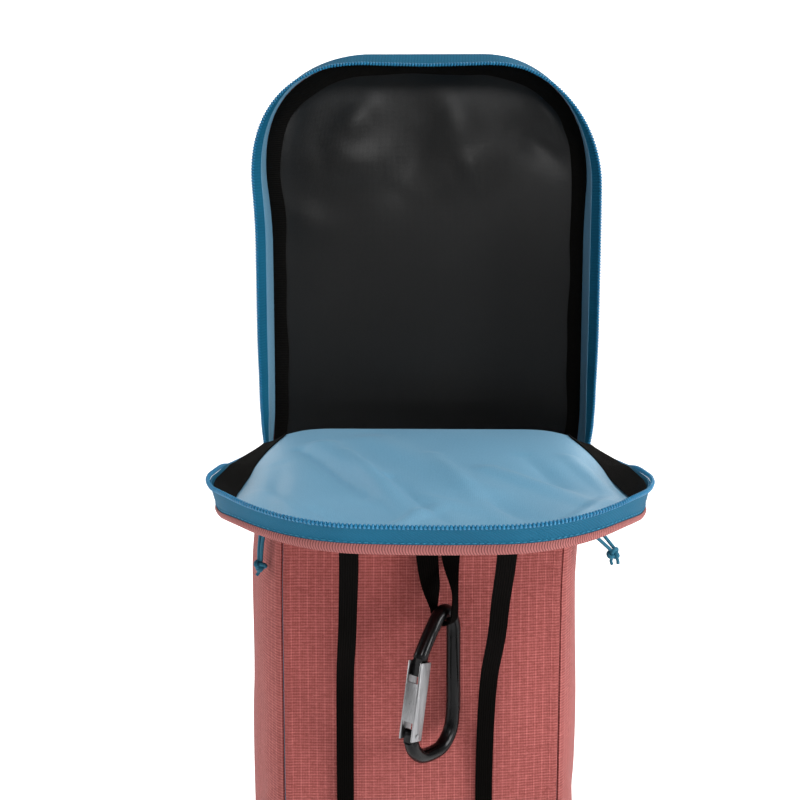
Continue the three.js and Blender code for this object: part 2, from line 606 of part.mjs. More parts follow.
// Webbing loop: down the front from one sewn end, under the hook's top bend and up to the other end
const seat = hookPlace.localToWorld(hookLine[4].clone());
const rodWay = point(Math.cos(HOOK_YAW), Math.sin(HOOK_YAW), 0);
const turnWay = point(rodWay.y, -rodWay.x, 0); // from the left strand to the right strand
const wrap = HOOK_ROD / 2 + CLEAR * 10 + LOOP_THICK / 2;
const loopTop = HINGE - LOOP_DROP;
function loopStation(p, width, turned) {
  const way = point(1, 0, 0).lerp(rodWay, turned).normalize();
  return [-width / 2, width / 2].map((w) => p.clone().addScaledVector(way, w));
}
const leftEnd = LOOP_SIDE - LOOP_SPACING / 2;
const rightEnd = LOOP_SIDE + LOOP_SPACING / 2;
const strand = (x, drop, gap) => settle(onFront(x, loopTop - drop, gap));
const loopGap = CLEAR + LOOP_THICK / 2;
const nearStrand = [
  loopStation(strand(leftEnd, 0, loopGap), LOOP_WIDTH, 0),
  loopStation(strand(leftEnd, 22, loopGap + 1), LOOP_WIDTH, 0.02),
  loopStation(strand(leftEnd, 45, loopGap + 5), LOOP_WIDTH, 0.15),
  loopStation(seat.clone().addScaledVector(turnWay, -wrap - 1.5).add(point(0, 0, 24)), LOOP_WIDTH - 3, 0.7),
];
const under = steps(8).map((t) => {
  const angle = Math.PI * (1 + t);
  const reach = turnWay.clone().multiplyScalar(Math.cos(angle) * wrap);
  return loopStation(seat.clone().add(reach).addScaledVector(UP, Math.sin(angle) * wrap), LOOP_NARROW, 1);
});
const farStrand = [
  loopStation(seat.clone().addScaledVector(turnWay, wrap + 0.5).addScaledVector(UP, 22), LOOP_WIDTH - 5, 0.9),
  loopStation(strand(rightEnd, 45, loopGap + 3), LOOP_WIDTH, 0.3),
  loopStation(strand(rightEnd, 22, loopGap + 1), LOOP_WIDTH, 0.05),
  loopStation(strand(rightEnd, 0, loopGap), LOOP_WIDTH, 0),
];
const loopGrid = [...nearStrand, ...under, ...farStrand];
add("hanger_loop", between(offset(loopGrid, LOOP_THICK / 2), offset(loopGrid, -LOOP_THICK / 2)), WEBBING);

// Sliders at the ends of the open zip: a plate with a bridge that the pull cord passes through
const sliderSlope = (sideX(SLIDER_Y + 1, ZIP_FOOT) - sideX(SLIDER_Y - 1, ZIP_FOOT)) / 2;
for (const [name, side] of [["left", -1], ["right", 1]]) {
  const { width, length, plate, room, arch } = SLIDER;
  const top = plate + room + arch;
  const shape = new THREE.Shape();
  shape.moveTo(0, 0).lineTo(0, -length).lineTo(plate, -length).lineTo(top, -length + 3);
  shape.lineTo(top, -3).lineTo(plate, 0).lineTo(0, 0);
  const hole = new THREE.Path();
  hole.moveTo(plate, -4).lineTo(plate, -length + 4);
  hole.lineTo(plate + room, -length + 4.6).lineTo(plate + room, -4.6);
  shape.holes.push(hole);
  const body = new THREE.ExtrudeGeometry(shape, { depth: width, bevelEnabled: false });
  body.translate(0, 0, -width / 2);
  const away = point(side, -sliderSlope, 0).normalize();
  const face = point(side * sideX(SLIDER_Y, GUSSET_TOP), SLIDER_Y, GUSSET_TOP - CLEAR);
  const seatPoint = settle(face);
  const rise = seatPoint.clone().sub(settle(face.clone().addScaledVector(UP, -length))).normalize();
  const out = settle(face.clone().add(away)).sub(seatPoint);
  out.addScaledVector(rise, -out.dot(rise)).normalize();
  const frame = new THREE.Matrix4().makeBasis(out, rise, out.clone().cross(rise));
  frame.setPosition(seatPoint.addScaledVector(out, SLIDER_OFF));
  body.applyMatrix4(frame);
  add(`slider_${name}`, bare(body), ZIP_BLUE);
}

// Pull cords: two strands a side from the slider's bridge down to the knot, by chosen points
const PULLS = {
  left_a: [
    [-100.1, -48, 693.1], [-99.6, -49.1, 692.9], [-98.9, -50.8, 691], [-99.2, -51, 687.5],
    [-100.8, -49.6, 680.1], [-103.2, -47.2, 672], [-104.9, -45.6, 664],
  ],
  left_b: [
    [-103.9, -40.2, 693.1], [-104.4, -39.1, 692.9], [-105.4, -37.5, 691], [-106, -37.4, 687.5],
    [-106.7, -39.1, 680.1], [-107, -41.3, 672], [-107, -43.6, 664],
  ],
  right_a: [
    [96.7, -40, 692.3], [96.2, -41.1, 692.1], [96, -42.7, 690.4], [97.6, -43.7, 687.3],
    [101.7, -43.4, 680.5], [107.5, -41.9, 672.6], [113.2, -40, 665.2],
  ],
  right_b: [
    [100.4, -32.1, 692.5], [100.9, -31, 692.3], [102.2, -29.7, 690.6], [104.7, -30.1, 687.5],
    [108.7, -32.6, 680.9], [112.4, -35.2, 673.8], [115.9, -37.4, 666.2],
  ],
};
for (const [name, route] of Object.entries(PULLS)) {
  const path = route.map((p) => point(...p));
  add(`pull_cord_${name}`, tube(path, CORD_DIAMETER / 2, 8, 10), ZIP_BLUE);
}
const KNOTS = { left: [-106, -44.6, 659.6], right: [115.8, -38.9, 661.5] };
for (const [name, centre] of Object.entries(KNOTS)) {
  const knot = new THREE.SphereGeometry(KNOT_RADIUS, 8, 6);
  knot.rotateX(Math.PI / 2);
  knot.translate(...centre);
  add(`pull_knot_${name}`, bare(knot), ZIP_BLUE);
}

export default bag;
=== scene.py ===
import math

import bmesh
import bpy
import numpy as np
from mathutils import Matrix, Vector


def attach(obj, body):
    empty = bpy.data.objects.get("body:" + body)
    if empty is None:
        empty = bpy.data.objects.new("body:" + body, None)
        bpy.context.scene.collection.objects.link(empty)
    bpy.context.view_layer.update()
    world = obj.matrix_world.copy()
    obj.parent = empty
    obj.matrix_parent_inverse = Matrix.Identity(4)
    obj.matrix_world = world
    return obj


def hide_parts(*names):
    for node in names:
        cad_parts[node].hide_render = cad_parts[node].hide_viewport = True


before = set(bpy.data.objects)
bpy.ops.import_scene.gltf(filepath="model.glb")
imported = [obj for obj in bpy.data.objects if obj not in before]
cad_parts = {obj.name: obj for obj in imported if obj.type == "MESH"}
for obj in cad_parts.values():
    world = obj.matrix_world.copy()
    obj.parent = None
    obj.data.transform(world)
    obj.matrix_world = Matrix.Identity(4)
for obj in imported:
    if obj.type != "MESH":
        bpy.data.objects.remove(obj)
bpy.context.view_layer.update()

# The camera stands where the photographer stood: chest high, 0.8 m in front of the bag, looking a
# little down and a little to the left.
camera = bpy.data.objects.new("camera", bpy.data.cameras.new("camera"))
bpy.context.collection.objects.link(camera)
camera.data.lens = 55.26
camera.data.sensor_width = 36
camera.location = (0, -0.8, 0.881)
camera.rotation_euler = (math.radians(90 - 8.6), 0, math.radians(1.28))
bpy.context.scene.camera = camera


# Materials are mixed from sockets, so that a pattern reads as a sum. Every thread, line and wave is
# in metres on the cloth's own flat map.
class Wire:
    def __init__(self, tree, socket=None):
        self.tree, self.socket = tree, socket

    def node(self, kind, settings=None, inputs=None, output=0):
        made = self.tree.nodes.new(kind)
        for name, value in (settings or {}).items():
            setattr(made, name, value)
        for name, value in (inputs or {}).items():
            if isinstance(value, Wire):
                self.tree.links.new(value.socket, made.inputs[name])
            else:
                made.inputs[name].default_value = value
        return Wire(self.tree, made.outputs[output] if len(made.outputs) else None)

    def maths(self, operation, *values):
        return self.node("ShaderNodeMath", {"operation": operation}, dict(enumerate(values)))

    def __add__(self, other):
        return self.maths("ADD", self, other)

    def __sub__(self, other):
        return self.maths("SUBTRACT", self, other)

    def __mul__(self, other):
        return self.maths("MULTIPLY", self, other)

    __radd__, __rmul__ = __add__, __mul__

    def step(self, low, high, out_low=0.0, out_high=1.0):
        """Rises smoothly from out_low to out_high as this value goes from low to high."""
        values = {"Value": self, "From Min": low, "From Max": high, "To Min": out_low, "To Max": out_high}
        return self.node("ShaderNodeMapRange", {"interpolation_type": "SMOOTHSTEP"}, values)

    def line(self, pitch, width, soft=0.5):
        """1 on thin lines a pitch apart, 0 between them, with edges softer as soft grows."""
        distance = self.maths("PINGPONG", self, pitch / 2)
        return distance.step(width / 2, width / 2 * (1 + soft), 1.0, 0.0)

    def tint(self, low, high):
        """From colour low where this value is 0 to colour high where it is 1."""
        return self.node(
            "ShaderNodeMix", {"data_type": "RGBA"}, {0: self, 6: (*low, 1), 7: (*high, 1)}, output=2
        )

    def noise(self, scale, detail=2.0, rough=0.5, place=None):
        """Cloudy values from 0 to 1, scale of them to a metre of the object."""
        if place is None:
            place = self.node("ShaderNodeTexCoord", output=3)
        values = {"Vector": place, "Scale": scale, "Detail": detail, "Roughness": rough}
        return self.node("ShaderNodeTexNoise", {}, values)

    def bump(self, height, distance, strength=1.0):
        values = {"Strength": strength, "Distance": distance, "Height": height}
        return self.node("ShaderNodeBump", {}, values)


def material(name, paint):
    """paint(wire, u, v) gives the shader's inputs, u and v being metres across and along the cloth."""
    made = bpy.data.materials.new(name)
    made.use_nodes = True
    made.node_tree.nodes.clear()
    wire = Wire(made.node_tree)
    flat = wire.node("ShaderNodeUVMap", {"uv_map": "flat"})
    u = flat.node("ShaderNodeSeparateXYZ", {}, {"Vector": flat}, output=0)
    v = Wire(made.node_tree, u.socket.node.outputs[1])
    shader = wire.node("ShaderNodeBsdfPrincipled", {}, paint(wire, u, v))
    shader.node("ShaderNodeOutputMaterial", {}, {"Surface": shader})
    return made


# A white sweep of paper stands under and behind the bag and glows a little, so that it comes out
# pure white. Soft boxes hang above the camera, behind the bag and to each side, the right one strongest.
def paint_paper(wire, u, v):
    cloud = wire.noise(3, 2)
    return {
        "Base Color": cloud.tint((0.86, 0.86, 0.86), (0.88, 0.88, 0.88)), "Roughness": 0.9,
        "Emission Color": cloud.tint((1, 1, 1), (0.98, 0.98, 0.98)), "Emission Strength": 0.78,
    }


sweep_profile = [(-3, 0), (3, 0)] + [
    (3 + 1.2 * math.sin(a), 1.2 - 1.2 * math.cos(a)) for a in np.linspace(0.1, math.pi / 2, 14)
] + [(4.2, 5)]
sweep_mesh = bpy.data.meshes.new("paper_sweep")
sweep_mesh.from_pydata(
    [(x, y, z - 0.0004) for y, z in sweep_profile for x in (-5, 5)],
    [],
    [(2 * i, 2 * i + 1, 2 * i + 3, 2 * i + 2) for i in range(len(sweep_profile) - 1)],
)
sweep_mesh.shade_smooth()
sweep_mesh.materials.append(material("white_paper", paint_paper))
sweep = bpy.data.objects.new("paper_sweep", sweep_mesh)
bpy.context.collection.objects.link(sweep)

surroundings = bpy.data.worlds.new("white_room")
surroundings.use_nodes = True
backdrop = surroundings.node_tree.nodes["Background"].inputs
backdrop["Color"].default_value = (1, 1, 1, 1)
backdrop["Strength"].default_value = 0.3
bpy.context.scene.world = surroundings
bpy.context.scene.view_settings.view_transform = "Standard"

for lamp_name, place, aim, size, power in (
    ("soft_box_top", (0.6, -0.3, 2.3), (0, -0.05, 0.8), 0.7, 14),
    ("soft_box_left", (-1.8, 0.25, 0.9), (-0.1, 0, 0.5), 0.9, 10),
    ("soft_box_right", (1.35, -0.7, 0.8), (0, 0, 0.5), 0.6, 14),
    ("soft_box_camera", (0.12, -1.5, 1.34), (0, 0.05, 0.95), 0.3, 5),
    ("soft_box_back", (0.2, 1.6, 2.4), (0, 0, 0.9), 1.0, 8),
):
    lamp_data = bpy.data.lights.new(lamp_name, "AREA")
    lamp_data.shape, lamp_data.size, lamp_data.energy = "DISK", size, power
    lamp = bpy.data.objects.new(lamp_name, lamp_data)
    lamp.location = place
    lamp.rotation_euler = (Vector(aim) - Vector(place)).to_track_quat("-Z", "Y").to_euler()
    bpy.context.collection.objects.link(lamp)


# Zip pulls: two strands of braided blue cord a side, which come out of the slider's bridge and
# end in one knot. One short tail leaves the left knot and two leave the right one.
MM = 0.001


def smooth_line(points, count):
    """count points on a smooth curve through the given ones."""
    points = np.asarray(points, float)
    knots = np.concatenate([[0], np.cumsum(np.sqrt(np.linalg.norm(np.diff(points, axis=0), axis=1)))])
    slopes = np.gradient(points, knots, axis=0, edge_order=1)
    at = np.linspace(0, knots[-1], count)
    i = np.clip(np.searchsorted(knots, at, side="right") - 1, 0, len(knots) - 2)
    span = (knots[i + 1] - knots[i])[:, None]
    t = (at - knots[i])[:, None] / span
    return (
        (2 * t**3 - 3 * t**2 + 1) * points[i]
        + (t**3 - 2 * t**2 + t) * span * slopes[i]
        + (3 * t**2 - 2 * t**3) * points[i + 1]
        + (t**3 - t**2) * span * slopes[i + 1]
    )


def unit(vectors):
    return vectors / np.linalg.norm(vectors, axis=-1)[..., None]


def running(points, axis=0):
    """The distance run along an axis of points, from 0 at its start."""
    steps = np.linalg.norm(np.diff(points, axis=axis), axis=-1)
    return np.concatenate([np.zeros_like(np.take(steps, [0], axis)), np.cumsum(steps, axis=axis)], axis)


def enter(name, mesh, stands_for=(), body="root"):
    """Puts a mesh into the scene as a piece that moves with a body and stands for nodes of the CAD."""
    made = bpy.data.objects.new(name, mesh)
    bpy.context.collection.objects.link(made)
    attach(made, body)
    if stands_for:
        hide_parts(*stands_for)
    return made


def piece(name, corners, faces, flat, look, stands_for=()):
    """A mesh of corners in millimetres with a flat map in millimetres for each face's corners."""
    mesh = bpy.data.meshes.new(name)
    mesh.from_pydata((np.asarray(corners) * MM).tolist(), [], [list(map(int, face)) for face in faces])
    layer = mesh.uv_layers.new(name="flat")
    layer.data.foreach_set("uv", (np.asarray(flat, float) * MM).ravel())
    mesh.shade_smooth()
    mesh.set_sharp_from_angle(angle=math.radians(40))
    mesh.materials.append(look)
    return enter(name, mesh, stands_for)


def rings_along(line, radii, sides):
    """Rings of corners round a line, without twist."""
    ahead = unit(np.gradient(line, axis=0))
    side = np.cross(ahead[0], (0.3, 0.2, 0.9))
    angle = np.arange(sides) / sides * 2 * math.pi
    rings = []
    for p, t, r in zip(line, ahead, np.broadcast_to(radii, len(line))):
        side = unit(side - t * np.dot(side, t))
        rings.append(p + r * (np.cos(angle)[:, None] * side + np.sin(angle)[:, None] * np.cross(t, side)))
    return np.array(rings)


def skin(rings, sides):
    """Quads between neighbouring rings of corners."""
    return [
        (i * sides + j, i * sides + (j + 1) % sides, (i + 1) * sides + (j + 1) % sides, (i + 1) * sides + j)
        for i in range(rings - 1) for j in range(sides)
    ]


def tube(name, line, radii, sides, look, stands_for=()):
    """A closed round bar of cord or rod along a line."""
    rings = rings_along(line, radii, sides)
    count = len(line)
    corners = np.concatenate([rings.reshape(-1, 3), line[[0, -1]]])
    run = running(line)
    girth = 2 * math.pi * float(np.mean(radii))
    faces, flat = skin(count, sides), []
    for i in range(count - 1):
        for j in range(sides):
            a, b = j / sides * girth, (j + 1) / sides * girth
            flat += [(a, run[i]), (b, run[i]), (b, run[i + 1]), (a, run[i + 1])]
    for j in range(sides):
        k = (j + 1) % sides
        faces.append((count * sides, k, j))
        faces.append((count * sides + 1, (count - 1) * sides + j, (count - 1) * sides + k))
        flat += [(0, 0)] * 3 + [(0, run[-1])] * 3
    return piece(name, corners, faces, flat, look, stands_for)


def paint_cord(wire, u, v):
    braid = (u * 2000 + v * 1100).maths("SINE") * (u * 2000 - v * 1100).maths("SINE")
    relief = braid.maths("ABSOLUTE")
    colour = relief.tint((0.006, 0.06, 0.11), (0.03, 0.2, 0.3))
    return {
        "Base Color": colour, "Roughness": 0.65, "Specular IOR Level": 0.25,
        "Normal": wire.bump(relief, 0.0002),
    }


cord_look = material("braided_cord", paint_cord)
CORD_DIAMETER, KNOT_CORD, TAIL_CORD = 2.3, 2.7, 2.1
PULL_ROUTES = {
    "pull_cord_left_a": [
        (-100.1, -48, 693.1), (-99.6, -49.1, 692.9), (-99.4, -50, 690.5), (-101, -48.2, 686),
        (-103.4, -45.9, 679), (-104.6, -45.4, 671), (-105.2, -44.8, 663),
    ],
    "pull_cord_left_b": [
        (-103.9, -40.2, 693.1), (-104.4, -39.1, 692.9), (-105, -38.6, 690.5), (-105.2, -40.4, 686),
        (-105.8, -42.4, 679.5), (-106.6, -43.2, 671), (-106.9, -43.6, 662.5),
    ],
    "pull_cord_right_a": [
        (96.7, -40, 692.3), (96.2, -41.1, 692.1), (97, -42, 690.2), (99.6, -42, 686.6),
        (104.5, -41.4, 681.5), (110.6, -40.4, 676), (117, -39.6, 670),
    ],
    "pull_cord_right_b": [
        (100.4, -32.1, 692.5), (100.9, -31, 692.3), (102.4, -31, 690.6), (104.6, -33.4, 688),
        (108.4, -36.2, 684), (113.2, -37.6, 678.4), (119.4, -38.2, 670.8),
    ],
}
KNOTS = {"left": ((-106, -44.6, 659.6), 0.4), "right": ((119, -38.9, 667.5), -0.7)}
knots = {}
for side, (centre, turn) in KNOTS.items():
    angle = np.linspace(0, 2 * math.pi, 61)
    loop = np.stack([
        1.17 * (np.sin(angle) + 2 * np.sin(2 * angle)),
        0.975 * (np.cos(angle) - 2 * np.cos(2 * angle)),
        -1.6 * np.sin(3 * angle),
    ], axis=1)
    spin = Matrix.Rotation(turn, 3, "Y") @ Matrix.Rotation(math.pi / 2, 3, "X")
    loop = loop @ np.array(spin).T + centre
    knot = f"pull_knot_{side}"
    knots[side] = tube(knot, loop, KNOT_CORD / 2, 10, cord_look, [knot])
tails = [
    tube(f"pull_tail_{name}", smooth_line(points, 14), TAIL_CORD / 2, 8, cord_look)
    for name, points in {
        "right_a": [(120.5, -39.3, 665.8), (121.5, -39.9, 663.4), (121.8, -40.2, 661)],
        "right_b": [(117.8, -39, 664.6), (117.4, -39.4, 662.4), (118.2, -39.8, 660.4)],
        "left_a": [(-106.6, -44.9, 657), (-107.2, -45.2, 655), (-108.2, -45.4, 653.6)],
    }.items()
]
for name, route in PULL_ROUTES.items():
    line = smooth_line(route, 48)
    strand = tube(name, line, CORD_DIAMETER / 2, 10, cord_look, [name])
    side = "left" if "left" in name else "right"
    carried = []
    if name.endswith("_a"):
        carried = [knots[side]] + [tail for tail in tails if side in tail.name]
    line[0] * MM
    (line * MM).tolist()


# Front wall: pink ripstop cloth with a blue coated lining behind it, from the base up to the fold.
# The body stands a little turned and shifted against its open top, and its walls bow outwards.
CLOTH, LINING, CLEAR = 1.6, 1.2, 0.3
HINGE, DEPTH = 750, 100
FRONT_HALF, BACK_HALF = 88, 107.5
FRONT_BOW, BACK_BOW, SIDE_BOW = 5, 4, 11
FRONT_Y, BACK_Y = -DEPTH / 2, DEPTH / 2
FOOT = 4.3
WALLS = CLOTH + CLEAR + LINING
FOLD_RADIUS = 4
FOLD_OUT = FOLD_RADIUS + WALLS
FOLD_Z = HINGE - FOLD_OUT
BODY_TURN, BODY_SHIFT, FLAP_SHIFT = math.radians(4.5), 6.5, 1.2
ZIP_PUSH, SEAM_PUSH, SEAM_Y = {"left": 7, "right": -1}, {"left": 12.5, "right": 5.5}, 47
PUSH_RISE, TOP_LIFT = 0.4, 2.2


def points_at(x, y, z):
    return np.stack(np.broadcast_arrays(x, y, z), axis=-1)


def ramp(t):
    t = np.clip(t, 0, 1)
    return t * t * (3 - 2 * t)


def fade(distance, reach):
    return np.clip(distance / reach, 0, 1)


def mix(a, b, t):
    return a + (b - a) * t


def settle(points):
    """Turns and shifts the body between base and fold, pushes the open half's top corners out, lifts
    its top edge at the back seam and shifts the flap's front end to the right."""
    points = np.asarray(points, float)
    x, y, z = points[..., 0], points[..., 1], points[..., 2]
    share = z / HINGE
    amount = ramp(share / 0.6) * ramp((1 - share) / 0.15)
    turn = BODY_TURN * amount
    across, along = ramp((np.abs(x) - 30) / 78), ramp((z - 860) / 120)
    behind = fade(y, SEAM_Y)
    left, right = (mix(ZIP_PUSH[side], SEAM_PUSH[side], behind) for side in ("left", "right"))
    push = across * along * np.where(x < 0, left, right)
    aside = FLAP_SHIFT * ramp((FRONT_Y - y) / 110) * ramp((z - 710) / 20)
    return np.stack([
        x * np.cos(turn) - y * np.sin(turn) - BODY_SHIFT * amount + np.sign(x) * push + aside,
        x * np.sin(turn) + y * np.cos(turn),
        z + push * PUSH_RISE + TOP_LIFT * behind * ramp((z - 900) / 75),
    ], axis=-1)


def swell(z):
    return np.sqrt(np.clip(np.sin(math.pi * np.clip(z / HINGE, 0, 1)), 0, 1))


def bowed(share):
    return 1 - np.abs(share) ** 2.2


def front_y(share, z):
    return FRONT_Y - FRONT_BOW * bowed(share) * swell(z)


def side_x(y, z):
    share = (y - FRONT_Y) / DEPTH
    return mix(FRONT_HALF, BACK_HALF, share) + SIDE_BOW * (1 - (2 * share - 1) ** 4) * (0.6 + 0.4 * swell(z))


def normals(grid):
    normal = np.cross(np.gradient(grid, axis=0), np.gradient(grid, axis=1))
    return normal / np.maximum(np.linalg.norm(normal, axis=2), 1e-9)[..., None]


def cloth(name, grid, start, thick, look, stands_for=(), settled=True):
    """A closed sheet of cloth from start to start + thick along the grid's normals."""
    normal = normals(grid)
    near, far = grid + normal * start, grid + normal * (start + thick)
    if settled:
        near, far = settle(near), settle(far)
    rows, cols = grid.shape[:2]
    top = np.arange(rows * cols).reshape(rows, cols)
    low = top + rows * cols
    quads = [
        (top[:-1, :-1], top[:-1, 1:], top[1:, 1:], top[1:, :-1]),
        (low[:-1, :-1], low[1:, :-1], low[1:, 1:], low[:-1, 1:]),
        (top[:1, 1:], top[:1, :-1], low[:1, :-1], low[:1, 1:]),
        (top[-1:, :-1], top[-1:, 1:], low[-1:, 1:], low[-1:, :-1]),
        (top[:-1, :1], top[1:, :1], low[1:, :1], low[:-1, :1]),
        (top[1:, -1:], top[:-1, -1:], low[:-1, -1:], low[1:, -1:]),
    ]
    faces = np.concatenate([np.stack([part.ravel() for part in quad], axis=1) for quad in quads])
    corners = np.concatenate([near.reshape(-1, 3), far.reshape(-1, 3)])
    a, b, c, d = (corners[faces[:, k]] for k in range(4))
    if np.einsum("ij,ij->i", a, np.cross(b, c) + np.cross(c, d)).sum() < 0:
        faces = faces[:, ::-1]
    u = running(grid, axis=1)
    flat = np.stack([u - u[:, cols // 2][:, None], running(grid)], axis=2).reshape(-1, 2)
    flat = np.concatenate([flat, flat])[faces.ravel()]
    return piece(name, corners, faces, flat, look, stands_for)


def ridge(x, z, x1, z1, x2, z2, height, width):
    """Height of a soft ridge over a line, and the share of the line run at each point."""
    run = np.array([x2 - x1, z2 - z1], float)
    t = np.clip(((x - x1) * run[0] + (z - z1) * run[1]) / (run @ run), 0, 1)
    distance = np.hypot(x - x1 - t * run[0], z - z1 - t * run[1])
    return height * np.exp(-((distance / width) ** 2)), t


def ease_folds(x, z, folds):
    """Sum of soft ridges, each (x1, z1, x2, z2, height, width) in millimetres, low at their ends."""
    total = np.zeros(np.broadcast(x, z).shape)
    for fold in folds:
        rise, t = ridge(x, z, *fold)
        total += rise * (0.35 + 0.65 * np.sin(math.pi * np.clip(t, 0.08, 0.92)))
    return total


def ripple(x, z, seed, size):
    """Low uneven waves, from -1 to 1, the same each run."""
    rng = np.random.default_rng(seed)
    total = np.zeros(np.broadcast(x, z).shape)
    for _ in range(7):
        angle, phase, stretch = rng.uniform(0, math.pi), rng.uniform(0, 6.28), rng.uniform(0.6, 1.7)
        total += np.sin((x * math.cos(angle) + z * math.sin(angle)) / (size * stretch) * 6.28 + phase)
    return total / 7


def paint_pink(wire, u, v):
    place = u.node("ShaderNodeCombineXYZ", {}, {0: u * 0.2, 1: v})
    slub = wire.noise(620, 3, 0.7, place).step(0.4, 0.75)
    broken = wire.noise(300, 2, 0.6).step(0.15, 0.6)
    grid = v.line(0.0019, 0.0005, 1.3) * broken * 0.8 + u.line(0.0052, 0.0004, 1.4) * (broken * 0.5 + 0.15)
    thread = u.line(0.00105, 0.0004, 0.9)
    grain = wire.noise(1300, 2, 0.7)
    cloud = wire.noise(14, 3)
    shade = slub * 0.12 + grid * 0.24 + thread * 0.1 + grain * 0.36 + cloud * 0.2
    colour = shade.step(0.1, 0.95).tint((0.17, 0.032, 0.028), (0.58, 0.175, 0.162))
    relief = grid * 0.6 + thread * 0.3 + slub * 0.3
    return {
        "Base Color": colour, "Roughness": cloud.step(0.2, 0.8, 0.78, 0.9), "Sheen Weight": 0.08,
        "Sheen Roughness": 0.5, "Specular IOR Level": 0.12, "Normal": wire.bump(relief, 0.0003, 0.9),
    }


def paint_lining_blue(wire, u, v):
    thread = u.line(0.0008, 0.0004) * v.line(0.0008, 0.0004)
    cloud = wire.noise(10, 3)
    fine = wire.noise(1100, 3, 0.7)
    shade = cloud * 0.35 + fine * 0.5 + thread * 0.15
    colour = shade.step(0.2, 0.8).tint((0.1, 0.29, 0.45), (0.19, 0.43, 0.61))
    return {
        "Base Color": colour, "Roughness": cloud.step(0.2, 0.8, 0.4, 0.5), "Sheen Weight": 0.1,
        "Specular IOR Level": 0.35, "Normal": wire.bump(thread * 0.5 + fine * 0.5, 0.0001, 0.6),
    }


pink_look = material("pink_ripstop", paint_pink)
blue_look = material("blue_lining", paint_lining_blue)

FRONT_FOLDS = [
    (-70, 690, -62, 420, -1.6, 16), (62, 700, 40, 380, 1.4, 18), (-20, 520, -34, 250, 1.2, 20),
    (20, 600, 30, 300, -1.2, 15), (-60, 330, -30, 120, 1.3, 22), (50, 300, 66, 90, -1.4, 18),
    (-80, 560, -50, 530, 1.0, 9), (80, 470, 52, 440, -1.0, 9), (-84, 250, -40, 215, -1.8, 8),
    (82, 200, 30, 168, -1.8, 9), (-76, 110, -30, 60, 1.6, 9), (70, 80, 30, 40, -1.4, 9),
    (-10, 140, 24, 96, 1.4, 8),
]
FRONT_WELT, WELT_AT, WELT_WIDTH = 0.9, 0.965, 1.7


def front_grid(inset, rows=190, cols=67):
    share = np.linspace(-1, 1, cols)[None, :]
    x = share * FRONT_HALF
    z = np.linspace(FOOT, FOLD_Z - CLEAR, rows)[:, None]
    calm = fade(bowed(share) * 3, 1) * fade(z - FOOT, 30) * fade(FOLD_Z - z, 40)
    waves = ease_folds(x, z, FRONT_FOLDS) * 0.55 + ripple(x, z, 3, 130) * 0.8
    from_seam = (np.abs(share) - WELT_AT) * FRONT_HALF / WELT_WIDTH
    welt = FRONT_WELT * np.exp(-(from_seam**2)) * fade(FOLD_Z - z, 30)
    y = front_y(share, z) - waves * calm - welt
    return points_at(share * (FRONT_HALF - inset), y, z)


cloth("front_wall", front_grid(0), 0, CLOTH, pink_look, ["front_panel"])
lining_grid = front_grid(WALLS + CLEAR + 1, 120, 41)
cloth("front_wall_lining", lining_grid, CLOTH + CLEAR, LINING, blue_look, ["front_lining"])


# Base: a stiff board under the same pink cloth, with its edge rounded and the walls' seam round it.
def base_outline(inset):
    u = np.linspace(-1, 1, 41)
    t = np.linspace(0, 1, 21)
    y = mix(FRONT_Y, BACK_Y, t)
    ring = [(a * FRONT_HALF, front_y(a, 0)) for a in u]
    ring += [(side_x(b, 0), b) for b in y[1:]]
    ring += [(-a * BACK_HALF, BACK_Y) for a in u[1:]]
    ring += [(-side_x(b, 0), b) for b in y[::-1][1:-1]]
    ring = np.array(ring)
    centre = ring.mean(axis=0)
    size = np.abs(ring - centre).max(axis=0)
    return centre + (ring - centre) * (1 - inset / size)


base_rings = [(3.0, 0), (0.9, 0.3), (0.2, 1.1), (0, 2), (0.2, 3), (0.9, 3.7), (3.0, 4)]
base_corners = [(x, y, z) for inset, z in base_rings for x, y in base_outline(inset)]
ring_size = len(base_outline(0))
base_faces = skin(len(base_rings), ring_size)
base_faces.append(tuple(range(ring_size))[::-1])
base_faces.append(tuple((len(base_rings) - 1) * ring_size + j for j in range(ring_size)))
base_flat = [(x, y + z) for face in base_faces for x, y, z in (base_corners[k] for k in face)]
piece("base", base_corners, base_faces, base_flat, pink_look, ["base_panel"])


# Side walls below the zip: one strip a side, pink outside and blue inside, swelling between seams.
# A low welt runs beside the front seam.
ZIP_FOOT = HINGE - 45
GUSSET_TOP = ZIP_FOOT - 5
SIDE_FOLDS = [
    (-10, 660, 5, 420, 1.8, 12), (15, 420, -12, 180, 1.6, 13), (-20, 300, 0, 80, -1.4, 12),
    (0, 640, 30, 560, -1.4, 9), (-44, 520, 10, 480, -1.8, 8), (44, 350, -6, 300, -1.8, 8),
    (-40, 200, 12, 160, -1.8, 8), (30, 120, -20, 70, 1.6, 8),
]
SIDE_WELT = 0.8


def side_grid(side, rows=170, cols=45):
    near, far = FRONT_Y + CLOTH + 0.05, BACK_Y - CLOTH - CLEAR
    t = np.linspace(0, 1, cols)[None, :]
    y = mix(near, far, t if side > 0 else 1 - t)
    z = np.linspace(FOOT, GUSSET_TOP, rows)[:, None]
    calm = fade(np.sin(math.pi * t) * 1.5, 1) * fade(z - FOOT, 30) * fade(GUSSET_TOP - z, 40)
    waves = (ease_folds(y, z, SIDE_FOLDS) * 0.6 + ripple(y, z, 11 + side, 90) * 0.8) * calm
    welt = SIDE_WELT * np.exp(-(((y - near - 3) / WELT_WIDTH) ** 2)) * fade(z - FOOT, 10)
    return points_at(side * (side_x(y, z) + waves + welt), y, z)


